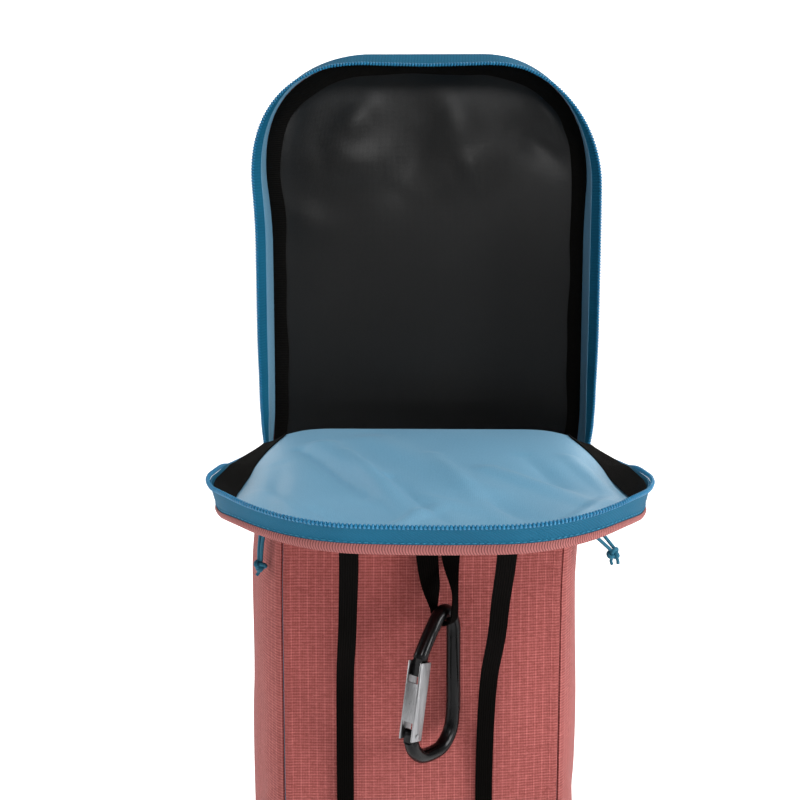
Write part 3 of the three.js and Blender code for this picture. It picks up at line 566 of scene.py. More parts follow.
for name, side in (("left", -1), ("right", 1)):
    cloth(f"side_wall_{name}", side_grid(side), 0, CLOTH, pink_look, [f"gusset_{name}"])
    cloth(f"side_lining_{name}", side_grid(side), CLOTH + CLEAR, LINING, blue_look, [f"gusset_lining_{name}"])


# Back wall: pink outside, black coated lining inside. Above the fold it stands up as the bag's open
# back half, round at its top corners, and its lining lies in a few soft hollows.
TOP_RISE, TOP_SAG = 229, 3
CORNER_ACROSS, CORNER_ALONG = 72, 84
BACK_LENGTH = HINGE + TOP_RISE + TOP_SAG


def zip_line(half, length, straight, corner=26, flat=17):
    """The zip seen flat, from the left foot over the end to the right foot: x, along and its normal."""
    rise, middle = length - CORNER_ALONG, half - CORNER_ACROSS
    rows = [(-half, t * rise, -1, 0) for t in straight[:-1]]
    for angle in np.linspace(math.pi, math.pi / 2, corner):
        c, s = math.cos(angle), math.sin(angle)
        nx, na = c / CORNER_ACROSS, s / CORNER_ALONG
        size = math.hypot(nx, na)
        rows.append((-middle + CORNER_ACROSS * c, rise + CORNER_ALONG * s, nx / size, na / size))
    rows += [(x, length, 0, 1) for x in np.linspace(-middle, 0, flat)[1:]]
    rows += [(-x, along, -nx, na) for x, along, nx, na in rows[-2::-1]]
    return np.array(rows)


def paint_lining_black(wire, u, v):
    thread = u.line(0.0008, 0.0004) * v.line(0.0008, 0.0004)
    cloud = wire.noise(9, 3)
    fine = wire.noise(1100, 3, 0.7)
    shade = cloud * 0.3 + fine * 0.6 + thread * 0.1
    colour = shade.step(0.25, 0.8).tint((0.0004, 0.0004, 0.0003), (0.005, 0.0048, 0.0045))
    return {
        "Base Color": colour, "Roughness": cloud.step(0.2, 0.8, 0.31, 0.38),
        "Specular IOR Level": 0.32, "Normal": wire.bump(thread * 0.4 + fine * 0.6, 0.00012, 0.7),
    }


black_look = material("black_lining", paint_lining_black)
BACK_FOLDS = [
    (-72, 912, -30, 918, 2.6, 13), (-40, 950, -58, 930, 2.2, 9), (-20, 900, 0, 940, -2.0, 14),
    (10, 958, 28, 922, 2.8, 16), (38, 916, 20, 905, 1.6, 14), (72, 955, 96, 925, 2.4, 8),
    (60, 935, 84, 918, -1.8, 9), (-80, 960, -90, 930, -1.2, 8), (-95, 880, -70, 872, 1.2, 12),
    (-60, 700, -20, 500, -2.0, 18), (50, 700, 30, 420, -2.0, 20), (-30, 400, -60, 120, -1.8, 18),
    (40, 330, 70, 90, -1.8, 16), (-90, 640, -40, 600, -1.4, 10), (90, 560, 50, 520, -1.4, 10),
]
THIN_CLOTH, THIN_GAP, THIN_LINING = 0.7, 0.1, 0.5
THIN_INSIDE = THIN_CLOTH + THIN_GAP
THIN_WALLS = THIN_INSIDE + THIN_LINING


def back_grid(inset, rows=150, cols=71):
    share = np.linspace(-1, 1, cols)[None, :]
    edge = zip_line(BACK_HALF, BACK_LENGTH - HINGE, np.linspace(0, 1, 40))
    edge = edge[: len(edge) // 2 + 1]
    edge = edge[edge[:, 0] <= -(BACK_HALF - CORNER_ACROSS) + 1e-6]
    low = np.linspace(FOOT, HINGE, rows)[:-1]
    flat_z = np.concatenate([low, HINGE + edge[:, 1]])[:, None]
    half = np.concatenate([np.full(len(low), BACK_HALF), -edge[:, 0]])[:, None]
    top = BACK_LENGTH - inset
    z = np.where(flat_z > HINGE, mix(HINGE, top, (flat_z - HINGE) / (BACK_LENGTH - HINGE)), flat_z)
    head_room = mix(1, 0, ramp((z - HINGE) / TOP_RISE))
    bulge = BACK_BOW * np.where(flat_z > HINGE, 0.4 * head_room, 0.4 + 0.6 * swell(flat_z)) * (z > FOOT)
    x = -share * (half - inset)
    calm = fade(bowed(share) * 3, 1) * fade(BACK_LENGTH - flat_z, 12)
    y = BACK_Y + bulge * bowed(share) - ease_folds(x, z, BACK_FOLDS) * calm
    y = y + ripple(x, z, 5, 150) * 0.8 * calm * fade(z - FOOT, 30)
    return points_at(x, y, z)


cloth("back_wall", back_grid(0), 0, THIN_CLOTH, pink_look, ["back_panel"])
cloth("back_wall_lining", back_grid(1.6), THIN_INSIDE, THIN_LINING, black_look, ["back_lining"])


# Upper side strip: from the back seam forward to the open zip, over the top, pink outside and blue
# inside. Its free edge is sewn to the zip's tape.
ZIP_SET, ZIP_REACH, TEETH_FLARE = 12, 75, 4
TAPE, TAPE_THICK, COIL_RADIUS = 14, 1.2, 1.1
SLIDER_Y = FRONT_Y + ZIP_SET
STRAIGHT = np.linspace(0, 1, 60) ** 1.4
upper = zip_line(BACK_HALF, BACK_LENGTH - GUSSET_TOP - CLEAR, STRAIGHT)


def zip_y(along):
    """The open zip's place from front to back: from the slider it runs to the middle of the side."""
    return mix(SLIDER_Y, 0, ramp(along / ZIP_REACH))


def on_upper(s, y, out):
    """A point beside a row of the zip line, y back and out from the back seam."""
    x, along, nx, na = s
    z = GUSSET_TOP + CLEAR + along
    low = (side_x(y, min(z, HINGE)) - BACK_HALF) * (1 - ramp(along / 110)) * abs(nx)
    return (x + nx * (out + low), y, z + na * out)


upper_grid = np.array([
    [
        on_upper(s, mix(BACK_Y - THIN_INSIDE, zip_y(s[1]) + TAPE - 2, t), 0)
        for t in np.linspace(0, 1, 14)
    ]
    for s in upper
])
cloth("upper_side", upper_grid, 0, THIN_CLOTH, pink_look, ["gusset_upper"])
cloth("upper_side_lining", upper_grid, THIN_INSIDE, THIN_LINING, blue_look, ["gusset_lining_upper"])


# Back row of the zip: woven blue tape with a nylon coil sewn along its free edge. Every turn of the
# coil is set along the tape by one node tree, which the flap's row uses again.
def paint_tape(wire, u, v):
    twill = (u + v * 0.7).line(0.0011, 0.0005)
    rib = v.line(0.0019, 0.0008)
    cloud = wire.noise(40, 2)
    shade = twill * 0.45 + rib * 0.2 + cloud * 0.35
    colour = shade.step(0.1, 0.9).tint((0.0015, 0.07, 0.138), (0.008, 0.135, 0.24))
    return {
        "Base Color": colour, "Roughness": 0.7, "Specular IOR Level": 0.15,
        "Normal": wire.bump(twill * 0.6 + rib * 0.4, 0.0002, 0.8),
    }


def paint_coil(wire, u, v):
    fine = wire.noise(260, 2)
    return {"Base Color": fine.tint((0.002, 0.12, 0.26), (0.008, 0.22, 0.42)), "Roughness": 0.34}


def nodes_along(name, item):
    """A tree that sets copies of item along a line, each turned with the line and its 'face'."""
    tree = bpy.data.node_groups.new(name, "GeometryNodeTree")
    tree.interface.new_socket("Line", in_out="INPUT", socket_type="NodeSocketGeometry")
    for label in ("Pitch", "Length", "Width", "Height", "Slant"):
        tree.interface.new_socket(label, in_out="INPUT", socket_type="NodeSocketFloat")
    tree.interface.new_socket("Finish", in_out="INPUT", socket_type="NodeSocketMaterial")
    tree.interface.new_socket("Row", in_out="OUTPUT", socket_type="NodeSocketGeometry")
    start = Wire(tree)
    make = start.node
    sizes = {socket.name: Wire(tree, socket) for socket in tree.nodes.new("NodeGroupInput").outputs}
    curve = make("GeometryNodeMeshToCurve", {}, {"Mesh": sizes["Line"]})
    spaced = make("GeometryNodeResampleCurve", {"mode": "LENGTH"}, {"Curve": curve, "Length": sizes["Pitch"]})
    ahead = make("GeometryNodeInputTangent")
    face = make("GeometryNodeInputNamedAttribute", {"data_type": "FLOAT_VECTOR"}, {"Name": "face"})
    turned = make("FunctionNodeAlignRotationToVector", {"axis": "X"}, {"Vector": ahead})
    turned = make(
        "FunctionNodeAlignRotationToVector", {"axis": "Z", "pivot_axis": "X"},
        {"Rotation": turned, "Vector": face},
    )
    slant = make("ShaderNodeCombineXYZ", {}, {"Z": sizes["Slant"]})
    slant = make("FunctionNodeEulerToRotation", {}, {"Euler": slant})
    turned = make(
        "FunctionNodeRotateRotation", {"rotation_space": "LOCAL"}, {"Rotation": turned, "Rotate By": slant}
    )
    size = make("ShaderNodeCombineXYZ", {}, {"X": sizes["Length"], "Y": sizes["Width"], "Z": sizes["Height"]})
    copies = make(
        "GeometryNodeInstanceOnPoints", {},
        {"Points": spaced, "Instance": item(start), "Rotation": turned, "Scale": size},
    )
    real = make("GeometryNodeRealizeInstances", {}, {"Geometry": copies})
    shaded = make("GeometryNodeSetShadeSmooth", {}, {"Geometry": real})
    finished = make("GeometryNodeSetMaterial", {}, {"Geometry": shaded, "Material": sizes["Finish"]})
    make("NodeGroupOutput", {}, {"Row": finished})
    return tree


def set_along(name, tree, line, face, sizes, look, stands_for=()):
    """Runs a tree on a line in millimetres and keeps the result as a plain mesh."""
    mesh = bpy.data.meshes.new(name)
    mesh.from_pydata((np.asarray(line) * MM).tolist(), [(i, i + 1) for i in range(len(line) - 1)], [])
    faces_out = mesh.attributes.new("face", "FLOAT_VECTOR", "POINT")
    faces_out.data.foreach_set("vector", np.asarray(face, float).ravel())
    guide = bpy.data.objects.new(name + "_guide", mesh)
    bpy.context.collection.objects.link(guide)
    modifier = guide.modifiers.new("row", "NODES")
    modifier.node_group = tree
    for item in tree.interface.items_tree:
        if item.in_out == "INPUT" and item.name in sizes:
            scale = 1 if item.name == "Slant" else MM
            modifier[item.identifier] = sizes[item.name] * scale
        if item.name == "Finish":
            modifier[item.identifier] = look
    graph = bpy.context.evaluated_depsgraph_get()
    result = bpy.data.meshes.new_from_object(
        guide.evaluated_get(graph), preserve_all_data_layers=True, depsgraph=graph
    )
    result.name = name
    bpy.data.objects.remove(guide)
    if not result.materials:
        result.materials.append(look)
    return enter(name, result, stands_for)


def coil_turn(start):
    ring = start.node("GeometryNodeCurvePrimitiveCircle", {}, {"Resolution": 9, "Radius": 0.5})
    upright = start.node("GeometryNodeTransform", {}, {"Geometry": ring, "Rotation": (0, math.pi / 2, 0)})
    thread = start.node("GeometryNodeCurvePrimitiveCircle", {}, {"Resolution": 5, "Radius": 0.17})
    return start.node("GeometryNodeCurveToMesh", {}, {"Curve": upright, "Profile Curve": thread})


tape_look = material("zip_tape", paint_tape)
coil_look = material("zip_coil", paint_coil)
coil_tree = nodes_along("coil_row", coil_turn)
COIL_SIZES = {"Pitch": 1.9, "Length": 3.6, "Width": 2.0, "Height": 1.7, "Slant": 0.2}
TOP_DIP, MIDDLE_DIP = TOP_SAG + 1.5, 2.5


def teeth_out(s):
    """How far the teeth stand out from the back seam: out at the sides, in at the top."""
    middle = max(1 - abs(s[0]) / 60, 0) ** 0.5
    return (TEETH_FLARE * s[2] ** 2 - (TOP_DIP + MIDDLE_DIP * middle) * s[3] ** 2) * ramp(s[1] / 60)


back_tape_grid = np.array([
    [
        on_upper(
            s, mix(zip_y(s[1]) + TAPE - 2 - CLEAR * 2, zip_y(s[1]) + COIL_RADIUS * 2 - 0.4, t),
            mix(0, teeth_out(s), t),
        )
        for t in np.linspace(0, 1, 9)
    ]
    for s in upper
])
cloth("back_tape", back_tape_grid, 0, TAPE_THICK, tape_look, ["back_zip_tape"])
back_teeth = settle(np.array([
    on_upper(
        (s[0], max(s[1], 2), s[2], s[3]), zip_y(s[1]) + COIL_RADIUS - CLEAR * 3,
        teeth_out(s) - TAPE_THICK / 2,
    )
    for s in upper
]))
back_face = np.stack([upper[:, 2], np.zeros(len(upper)), upper[:, 3]], axis=1)
set_along("back_coil", coil_tree, back_teeth, back_face, COIL_SIZES, coil_look, ["back_zip_coil"])


# Grosgrain binding over the back seam: black ribbed tape, sewn down along both edges, with small
# tucks where it turns the corners.
def paint_grosgrain(wire, u, v):
    rib = v.line(0.0012, 0.0006, 0.8)
    fine = wire.noise(900, 3, 0.6)
    cloud = wire.noise(25, 2)
    shade = rib * 0.35 + fine * 0.4 + cloud * 0.25
    colour = shade.step(0.15, 0.85).tint((0.0015, 0.0014, 0.0012), (0.009, 0.008, 0.007))
    return {
        "Base Color": colour, "Roughness": 0.9, "Specular IOR Level": 0.03,
        "Normal": wire.bump(rib * 0.7 + fine * 0.3, 0.0003, 0.8),
    }


grosgrain_look = material("black_grosgrain", paint_grosgrain)
BINDING_WIDTH, BINDING_THICK, FLAP_BINDING_THICK = 9, 0.9, 0.8
BINDING_Y = BACK_Y - THIN_WALLS - THIN_GAP
binding_rise = BACK_LENGTH - THIN_WALLS - THIN_GAP - FOOT
binding_line = zip_line(BACK_HALF - THIN_WALLS - THIN_GAP, binding_rise, np.linspace(0, 1, 150))
binding_run = running(binding_line[:, :2])
TUCKS = [(-66, 948, 2.4, 4), (-38, 968, 1.8, 5), (26, 971, 2.7, 5), (71, 955, 2.2, 4), (92, 918, 3.4, 5)]
binding_grid = []
for (x, along, nx, na), run in zip(binding_line, binding_run):
    z = FOOT + along
    waver = 0.5 * math.sin(run / 17) + 0.35 * math.sin(run / 7.3 + 1) if z > HINGE - 60 else 0
    for tx, tz, depth, width in TUCKS:
        waver += depth * math.exp(-((x - tx) ** 2 + (z - tz) ** 2) / width**2 / 2)
    wide = BINDING_WIDTH + waver
    lift = 0.35 * math.sin(run / 13) + 0.25 * math.sin(run / 5.1)
    row = []
    for t in np.linspace(0, 1, 8):
        hump = 0.5 * math.sin(math.pi * t) + 0.25 * lift * t
        row.append((x - nx * wide * t, BINDING_Y - max(hump, 0), z - na * wide * t))
    binding_grid.append(row)
cloth("back_edge_binding", np.array(binding_grid), 0, -BINDING_THICK, grosgrain_look, ["back_binding"])


# Flap: the front wall's cloth goes over the fold and forward as the floor of a shallow tray, pink
# below and blue above, with the folds that the packing left in it.
FLAP_LENGTH, FLAP_HALF, FLAP_NECK, NECK_REACH = 229, 108.5, 15, 126
TRAY, RIM = 10, 3.6
SIDE_DROOP, END_DROOP, FLAP_SPREAD = 11.5, 3.3, 0.045
TAPE_LEAN, CORNER_LEAN, SIDE_LEAN = math.radians(36), math.radians(12), math.radians(58)
SEAM_IN = TAPE * math.sin(TAPE_LEAN)
FLOOR_LENGTH = FLAP_LENGTH - SEAM_IN - FOLD_OUT
FLOOR_START = FRONT_Y - FOLD_RADIUS
FLAP_FOLDS = [
    (-0.55, 0.22, 0.1, 0.86, 3.2, 9), (-0.3, 0.14, 0.28, 0.6, 1.6, 11), (0.6, 0.5, 0.86, 0.8, -2.6, 20),
]
SMALL_FOLDS = [
    (-0.66, 0.24, -0.28, 0.62, -2.0, 5), (-0.2, 0.5, 0.14, 0.9, -2.2, 5), (-0.42, 0.3, -0.1, 0.75, 1.5, 3.5),
    (0.02, 0.3, 0.36, 0.88, 1.4, 5), (0.3, 0.42, 0.75, 0.66, 2.0, 6), (0.55, 0.88, 0.84, 0.62, 2.2, 5),
    (-0.78, 0.6, -0.5, 0.85, 1.4, 6), (0.72, 0.3, 0.9, 0.62, 1.6, 5), (-0.2, 0.88, 0.05, 0.7, 1.6, 4),
    (-0.75, 0.35, -0.7, 0.75, -1.4, 7), (0.2, 0.6, 0.45, 0.8, -1.6, 7), (0.84, 0.66, 0.97, 0.7, 2.0, 4),
    (-0.05, 0.62, 0.2, 0.72, 1.0, 3), (0.5, 0.3, 0.62, 0.52, -1.2, 6), (-0.5, 0.75, -0.25, 0.9, -1.2, 5),
]


def on_flap(folds):
    """Folds given in shares of the flap's half width and length, in millimetres."""
    size = np.array((FLAP_HALF, FLAP_LENGTH, FLAP_HALF, FLAP_LENGTH, 1, 1))
    return [np.array(fold) * size for fold in folds]


def fold_height(x, q):
    height = np.zeros(np.broadcast(x, q).shape)
    for fold in on_flap(FLAP_FOLDS):
        height += ridge(x, q, *fold)[0]
    return height + ease_folds(x, q, on_flap(SMALL_FOLDS)) * 1.5 + ripple(x, q, 21, 70) * 0.8


def neck(q):
    return FLAP_NECK * np.maximum(1 - q / NECK_REACH, 0) ** 1.15


def floor_z(q):
    return FOLD_Z + FOLD_RADIUS - TRAY * ramp(q / FLAP_LENGTH)


def droop(x, q):
    """How far the flap hangs down: at its sides near the fold, and at the middle of its front."""
    width = np.abs(x) / FRONT_HALF
    side = fade(width - 0.62, 0.51)
    end = np.maximum(1 - width**2, 0) * ramp(q / FLAP_LENGTH)
    return SIDE_DROOP * side**3 * (1 - ramp((q / FLAP_LENGTH - 0.33) / 0.6)) + END_DROOP * end


def flap_half(s):
    return abs(s[0]) * (1 + FLAP_SPREAD * ramp(s[1] / 45)) - neck(s[1] + FOLD_OUT)


# The floor's outline from the left end of the fold to the middle of the front, evenly thinned.
floor_line = zip_line(FLAP_HALF - SEAM_IN * 0.75, FLOOR_LENGTH, STRAIGHT)
floor_line = floor_line[: len(floor_line) // 2 + 1]
floor_rows = [s for i, s in enumerate(floor_line) if i == 0 or s[1] - floor_line[i - 1][1] > 0.25]


def flap_grid(inset, cols=97):
    share = np.linspace(-1, 1, cols)
    rows = []
    for t in np.linspace(0, 1, 14):
        angle = t * math.pi / 2
        y = FRONT_Y - FOLD_RADIUS + FOLD_RADIUS * math.cos(angle)
        x = share * (mix(FRONT_HALF, flap_half(floor_rows[0]), t) - inset)
        z = FOLD_Z + (FOLD_RADIUS - droop(x, 0)) * math.sin(angle)
        rows.append(points_at(x, y, z))
    for s in floor_rows[1:]:
        q = min(s[1], FLOOR_LENGTH - inset)
        x = share * (flap_half(s) - inset)
        calm = fade(bowed(share) * 3, 1) * min((FLOOR_LENGTH - q) / 20, 1) * min(q / 12, 1)
        z = floor_z(q) - droop(x, q) + fold_height(x, q) * calm
        rows.append(points_at(x, FLOOR_START - q, z))
    return np.array(rows)


cloth("flap_under", flap_grid(0), 0, CLOTH, pink_look, ["flap_panel"])
cloth("flap_lining_top", flap_grid(1), CLOTH + CLEAR, LINING, blue_look, ["flap_lining"])


# Front row of the zip: its tape stands up and leans out round the flap's edge, with the coil along
# its top edge.
edge_p, edge_out, edge_side = [], [], []
for t in np.linspace(0, 1, 20)[:-1] * 0.88:
    edge_p.append((-FRONT_HALF, FRONT_Y, mix(ZIP_FOOT, FOLD_Z - 4, t)))
    edge_out.append(unit(mix(np.array((-0.62, 0.78, 0)), np.array((-0.95, 0.1, 0.3)), t**2)))
    edge_side.append((-1, 0, 0))
for s in floor_line[1:]:
    lean = mix(mix(SIDE_LEAN, CORNER_LEAN, ramp((s[1] - 45) / 115)), TAPE_LEAN, s[3] ** 2)
    side = np.array((s[2], -s[3], 0))
    rising = side * math.sin(lean) + np.array((0, 0, math.cos(lean)))
    edge_p.append((-flap_half(s), FLOOR_START - s[1], floor_z(s[1]) - droop(flap_half(s), s[1])))
    edge_out.append(unit(mix(unit(np.array((-0.9, 0.12, -0.3))), rising, ramp(s[1] / 90))))
    edge_side.append(side)
flip = np.array((-1, 1, 1))
edge_p, edge_out, edge_side = (
    np.concatenate([half, half[-2::-1] * flip]) for half in map(np.array, (edge_p, edge_out, edge_side))
)
tape_root = edge_p + edge_side * (CLEAR * 2 + 0.4) + edge_out * 1.6
tape_steps = np.linspace(0, TAPE - COIL_RADIUS * 2 + 0.4, 10)
flap_tape_grid = np.stack([tape_root + edge_out * t for t in tape_steps], axis=1)
cloth("flap_tape", flap_tape_grid, 0, -TAPE_THICK, tape_look, ["flap_zip_tape"])
flap_teeth = settle(tape_root + edge_out * (TAPE - COIL_RADIUS + CLEAR) + edge_side * TAPE_THICK / 2)
flap_face = unit(edge_side - edge_out * np.sum(edge_side * edge_out, axis=1)[:, None])
set_along("flap_coil", coil_tree, flap_teeth, flap_face, COIL_SIZES, coil_look, ["flap_zip_coil"])


# Lower rim: a narrow strip of the pink cloth turned up under the tape, its edge overlocked with
# close upright threads.
def paint_rim(wire, u, v):
    thread = v.line(0.0013, 0.0006, 0.9)
    cloud = wire.noise(60, 2)
    shade = thread * 0.6 + cloud * 0.4
    colour = shade.step(0.1, 0.9).tint((0.21, 0.06, 0.057), (0.44, 0.145, 0.135))
    return {"Base Color": colour, "Roughness": 0.85, "Normal": wire.bump(thread, 0.0004, 0.9)}


rim_look = material("pink_overlock", paint_rim)
rim_rows = slice(18, len(edge_p) - 18)
rim_top = (tape_root + edge_side * CLEAR * 2)[rim_rows]
rim_drop = np.zeros(rim_top.shape)
rim_drop[:, 2] = -(RIM + 1) * (0.5 + 0.5 * edge_side[rim_rows][:, 1] ** 2)
rim_grid = np.stack([
    rim_top + edge_side[rim_rows] * 0.5 * math.sin(math.pi * t) + rim_drop * (1 - t) + np.array((0, 0, 0.6))
    for t in np.linspace(0, 1, 6)
], axis=1)
cloth("flap_lower_rim", rim_grid, 0, -CLOTH, rim_look, ["flap_rim"])


# Binding inside the flap: the same grosgrain as a sloping band from the floor's lining up the inside
# of the tape, a little wavy. LAPS tells how far it lies over the floor on the left and on the right.
rim_p, rim_side, rim_out = edge_p[rim_rows], edge_side[rim_rows], edge_out[rim_rows]
rim_run = running(rim_p)
LAP_AT = (0, 31, 61, 89, 115, 132, 150, 170, 185, 205)
LAPS = {-1: (-1, -1, 0, 2, 4, 6, 6, 3, 1, 1), 1: (-1, -1, 0, 1.5, 2.5, 2.5, 2, 4, 5, 1)}
binding_inset = TAPE_THICK + CLEAR * 2
flap_binding_grid = []
for p, side, out, root, run in zip(rim_p, rim_side, rim_out, tape_root[rim_rows], rim_run):
    waver = 0.6 * math.sin(run / 15) + 0.4 * math.sin(run / 6.1)
    q = FLOOR_START - p[1]
    lap = float(np.interp(q, LAP_AT, LAPS[-1 if p[0] < 0 else 1])) + 0.5 * waver
    low = p - side * (lap + binding_inset)
    low[2] = floor_z(q) - droop(low[0], q) + WALLS + CLEAR * 2
    high = root + out * (TAPE - 3.6) - side * binding_inset * out[2]
    high[2] += binding_inset * float(out @ side)
    sag = unit(np.cross(high - low, np.cross(side, (0, 0, 1)))) * (0.7 + 0.3 * waver)
    flap_binding_grid.append([mix(low, high, t) + sag * math.sin(math.pi * t) for t in np.linspace(0, 1, 9)])
cloth(
    "flap_edge_binding", np.array(flap_binding_grid), 0, -FLAP_BINDING_THICK, grosgrain_look, ["flap_binding"]
)


# Two black webbing straps: from the flap's underside down to the front, then flat on it to the base.
# Each swings a little to the right above the front, the left one more.
def paint_webbing(wire, u, v):
    rib = (u + v.maths("PINGPONG", 0.0016) * 0.8).line(0.0014, 0.0006, 0.8)
    edge = u.maths("ABSOLUTE").step(0.0046, 0.0052)
    fine = wire.noise(1000, 3, 0.6)
    shade = rib * 0.45 + fine * 0.4 + edge * 0.15
    colour = shade.step(0.15, 0.85).tint((0.0006, 0.0005, 0.0004), (0.0024, 0.002, 0.0017))
    return {
        "Base Color": colour, "Roughness": 0.9, "Specular IOR Level": 0.03,
        "Normal": wire.bump(rib * 0.8 + fine * 0.2, 0.0003, 0.8),
    }


webbing_look = material("black_webbing", paint_webbing)
STRAP_WIDTH, STRAP_THICK, STRAP_SPACING, STRAP_SIDE = 10.8, 1.6, 89, -5
STRAP_SWING = {"left": 5, "right": 2.5}
STRAP_ROUTE = [
    (0.985, 0.55), (0.969, 0.52), (0.925, 0.4), (0.883, 0.285), (0.845, 0.215), (0.796, 0.09), (0.755, 0.035),
    (0.716, 0.008), (0.677, 0), (0.5, 0), (0.34, 0), (0.18, 0), (0.06, 0), (FOOT / HINGE, 0),
]


def on_front(x, z, gap):
    return points_at(x, front_y(x / FRONT_HALF, z) - gap, z)


for name, side in (("left", -1), ("right", 1)):
    middle = STRAP_SIDE + side * STRAP_SPACING / 2
    route = smooth_line([(0, -out * FLAP_LENGTH, height * HINGE) for height, out in STRAP_ROUTE], 150)[::-1]
    across = np.linspace(-STRAP_WIDTH / 2, STRAP_WIDTH / 2, 9)
    gap = CLEAR + np.maximum(-route[:, 1], 0) + 1.2 * np.clip(bowed(middle / FRONT_HALF), 0, 1)
    middle = middle + STRAP_SWING[name] * fade(gap - 10, 90) ** 2
    grid = np.stack([on_front(middle + w, route[:, 2], gap) for w in across], axis=1)
    cloth(f"webbing_strap_{name}", grid, 0, -STRAP_THICK, webbing_look, [f"strap_{name}"])


# Snap hook: a rod of black anodised aluminium bent to a ring, and a bright sprung gate of folded
# aluminium, which turns on a pin through the rod's flattened end.
def paint_black_metal(wire, u, v):
    cloud = wire.noise(45, 3)
    scuff = wire.noise(420, 4, 0.7).step(0.62, 0.78)
    colour = (scuff * 0.35).tint((0.006, 0.006, 0.0065), (0.06, 0.06, 0.06))
    return {
        "Base Color": colour, "Metallic": 0.85, "Roughness": cloud.step(0.3, 0.7, 0.2, 0.32),
        "Coat Weight": 0.1, "Normal": wire.bump(cloud, 0.0002, 0.2),
    }


def paint_silver(wire, u, v):
    brushed = wire.noise(1, 3, 0.6, wire.node(
        "ShaderNodeMapping", {}, {0: wire.node("ShaderNodeTexCoord", output=3), 3: (1500, 1500, 120)}
    ))
    return {
        "Base Color": brushed.tint((0.15, 0.15, 0.155), (0.36, 0.36, 0.37)), "Metallic": 1.0,
        "Roughness": brushed.step(0.2, 0.8, 0.26, 0.4), "Normal": wire.bump(brushed, 0.0001, 0.3),
    }


metal_look = material("black_anodised", paint_black_metal)
silver_look = material("bright_aluminium", paint_silver)


def eased_copy(name, node, look, bevel, body="root"):
    """A smooth-edged copy of a hard piece, its edges rounded by bevel metres."""
    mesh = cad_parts[node].data.copy()
    mesh.name = name
    shape = bmesh.new()
    shape.from_mesh(mesh)
    bmesh.ops.remove_doubles(shape, verts=shape.verts, dist=0.00002)
    bmesh.ops.dissolve_limit(shape, angle_limit=math.radians(2), verts=shape.verts, edges=shape.edges)
    edges = [e for e in shape.edges if len(e.link_faces) == 2 and e.calc_face_angle(0) > math.radians(30)]
    bmesh.ops.bevel(
        shape, geom=edges, offset=bevel, segments=2, profile=0.5, affect="EDGES", clamp_overlap=True
    )
    flat = shape.loops.layers.uv.new("flat")
    for face in shape.faces:
        for corner in face.loops:
            corner[flat].uv = (corner.vert.co.x + corner.vert.co.y, corner.vert.co.z)
    shape.to_mesh(mesh)
    shape.free()
    mesh.shade_smooth()
    mesh.set_sharp_from_angle(angle=math.radians(35))
    mesh.materials.clear()
    mesh.materials.append(look)
    return enter(name, mesh, [node], body)


HOOK_HEIGHT, HOOK_WIDTH, HOOK_ROD, HOOK_YAW = 98, 50, 9, math.radians(50)
HOOK_PLACE = np.array((17, FRONT_Y - FRONT_BOW - 5, HINGE - 107.5 - HOOK_HEIGHT + HOOK_ROD / 2))
HOOK_LINE = [
    (0.8, 0.72), (0.7, 0.79), (0.52, 0.9), (0.37, 0.975), (0.23, 1), (0.09, 0.965), (0.01, 0.88), (0, 0.78),
    (0, 0.55), (0, 0.25), (0.07, 0.1), (0.26, 0.015), (0.5, 0), (0.76, 0.02), (0.93, 0.09), (0.995, 0.17),
]


def on_hook(x, z):
    """A point of the hook's own plane, x from the spine and z up, in the bag's frame."""
    turn = HOOK_YAW + math.pi
    return HOOK_PLACE + np.array((x * math.cos(turn), x * math.sin(turn), z))


hook_line = np.array([
    on_hook(a * (HOOK_WIDTH - HOOK_ROD), b * (HOOK_HEIGHT - HOOK_ROD)) for a, b in HOOK_LINE
])
rod_line = smooth_line(hook_line, 170)
rod_radii = np.full(170, HOOK_ROD / 2)
rod_radii[:4] -= np.array((1.2, 0.5, 0.15, 0.03))
rod_radii[-4:] -= np.array((0.03, 0.15, 0.5, 1.2))
tube("hook_rod", rod_line, rod_radii, 24, metal_look)
eased_copy("hook_ends", "carabiner_body", metal_look, 0.0001)
eased_copy("hook_gate", "carabiner_gate", silver_look, 0.00022, body="gate")


# Webbing loop that carries the hook: sewn to the front below the fold, bunched where it passes
# through the hook's top bend.
LOOP_WIDTH, LOOP_NARROW, LOOP_THICK = 14, 6, 1.3
LOOP_TOP = HINGE - 15
LEFT_END, RIGHT_END = 9 - 14.7 / 2, 9 + 14.7 / 2
seat = hook_line[4]
rod_way = np.array((math.cos(HOOK_YAW), math.sin(HOOK_YAW), 0))
turn_way = np.array((rod_way[1], -rod_way[0], 0))
wrap = HOOK_ROD / 2 + CLEAR * 10 + LOOP_THICK / 2
loop_gap = CLEAR + LOOP_THICK / 2
up = np.array((0, 0, 1))


def strand(x, drop, gap):
    return settle(on_front(x, LOOP_TOP - drop, gap))


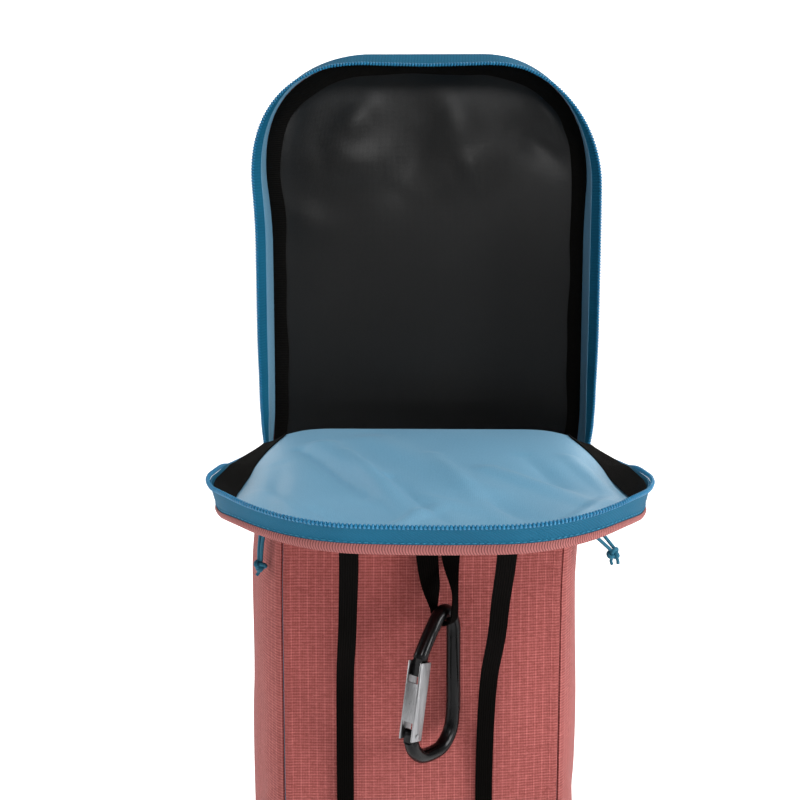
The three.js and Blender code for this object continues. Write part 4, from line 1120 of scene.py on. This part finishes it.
loop_stations = [
    (strand(LEFT_END, 0, loop_gap), LOOP_WIDTH, 0), (strand(LEFT_END, 22, loop_gap + 1), LOOP_WIDTH, 0.02),
    (strand(LEFT_END - 0.5, 50, loop_gap + 4), LOOP_WIDTH, 0.08),
    (strand(LEFT_END + 0.5, 68, loop_gap + 6), LOOP_WIDTH - 0.5, 0.15),
    (seat - turn_way * (wrap + 2.5) + up * 13, LOOP_WIDTH - 2, 0.55),
]
for t in np.linspace(0, 1, 9):
    angle = math.pi * (1 + t)
    around = seat + turn_way * math.cos(angle) * wrap + up * math.sin(angle) * wrap
    loop_stations.append((around, LOOP_NARROW, 1))
loop_stations += [
    (seat + turn_way * (wrap + 0.5) + up * 13, LOOP_NARROW - 1, 1.0),
    (strand(RIGHT_END + 0.5, 68, loop_gap + 5), LOOP_WIDTH - 3, 0.45),
    (strand(RIGHT_END, 50, loop_gap + 3), LOOP_WIDTH, 0.12),
    (strand(RIGHT_END, 22, loop_gap + 1), LOOP_WIDTH, 0.03), (strand(RIGHT_END, 0, loop_gap), LOOP_WIDTH, 0),
]
loop_edges = []
for end in (-0.5, 0.5):
    points = [
        p + unit(mix(np.array((1.0, 0, 0)), rod_way, turned)) * wide * end
        for p, wide, turned in loop_stations
    ]
    loop_edges.append(smooth_line(points, 140))
loop_grid = np.stack([mix(loop_edges[0], loop_edges[1], t) for t in np.linspace(0, 1, 9)], axis=1)
cloth("hook_loop", loop_grid, -LOOP_THICK / 2, LOOP_THICK, webbing_look, ["hanger_loop"], settled=False)


# Zip sliders: enamelled blue, closed at the ends of the open zip, with a bridge for the pull cord.
def paint_enamel(wire, u, v):
    chip = wire.noise(500, 3).step(0.66, 0.8)
    return {
        "Base Color": (chip * 0.4).tint((0.012, 0.15, 0.27), (0.2, 0.3, 0.36)), "Metallic": 0.2,
        "Roughness": chip.step(0, 1, 0.3, 0.5), "Coat Weight": 0.5,
    }


enamel_look = material("blue_enamel", paint_enamel)
for side in ("left", "right"):
    eased_copy(f"zip_slider_{side}", f"slider_{side}", enamel_look, 0.0004)


# Stitches: a row of short proud blue threads on the outer face of the flap's zip tape, near its foot.
def paint_thread(wire, u, v):
    twist = wire.noise(1400, 2)
    return {
        "Base Color": twist.tint((0.01, 0.14, 0.26), (0.03, 0.28, 0.45)), "Roughness": 0.7,
        "Normal": wire.bump(twist, 0.0001, 0.5),
    }


def stitch(start):
    return start.node("GeometryNodeMeshUVSphere", {}, {"Segments": 6, "Rings": 4, "Radius": 0.5})


thread_look = material("blue_thread", paint_thread)
stitch_tree = nodes_along("stitch_row", stitch)
STITCH_SIZES = {"Pitch": 3.2, "Length": 2.4, "Width": 0.55, "Height": 0.5, "Slant": 0}
STITCH_RISE, STITCH_PROUD = 2.0, 0.15
row_face = unit(np.cross(np.gradient(tape_root, axis=0), edge_out))
row_line = settle(tape_root + edge_out * STITCH_RISE + row_face * STITCH_PROUD)
set_along("tape_stitches", stitch_tree, row_line[16:-16], row_face[16:-16], STITCH_SIZES, thread_look)
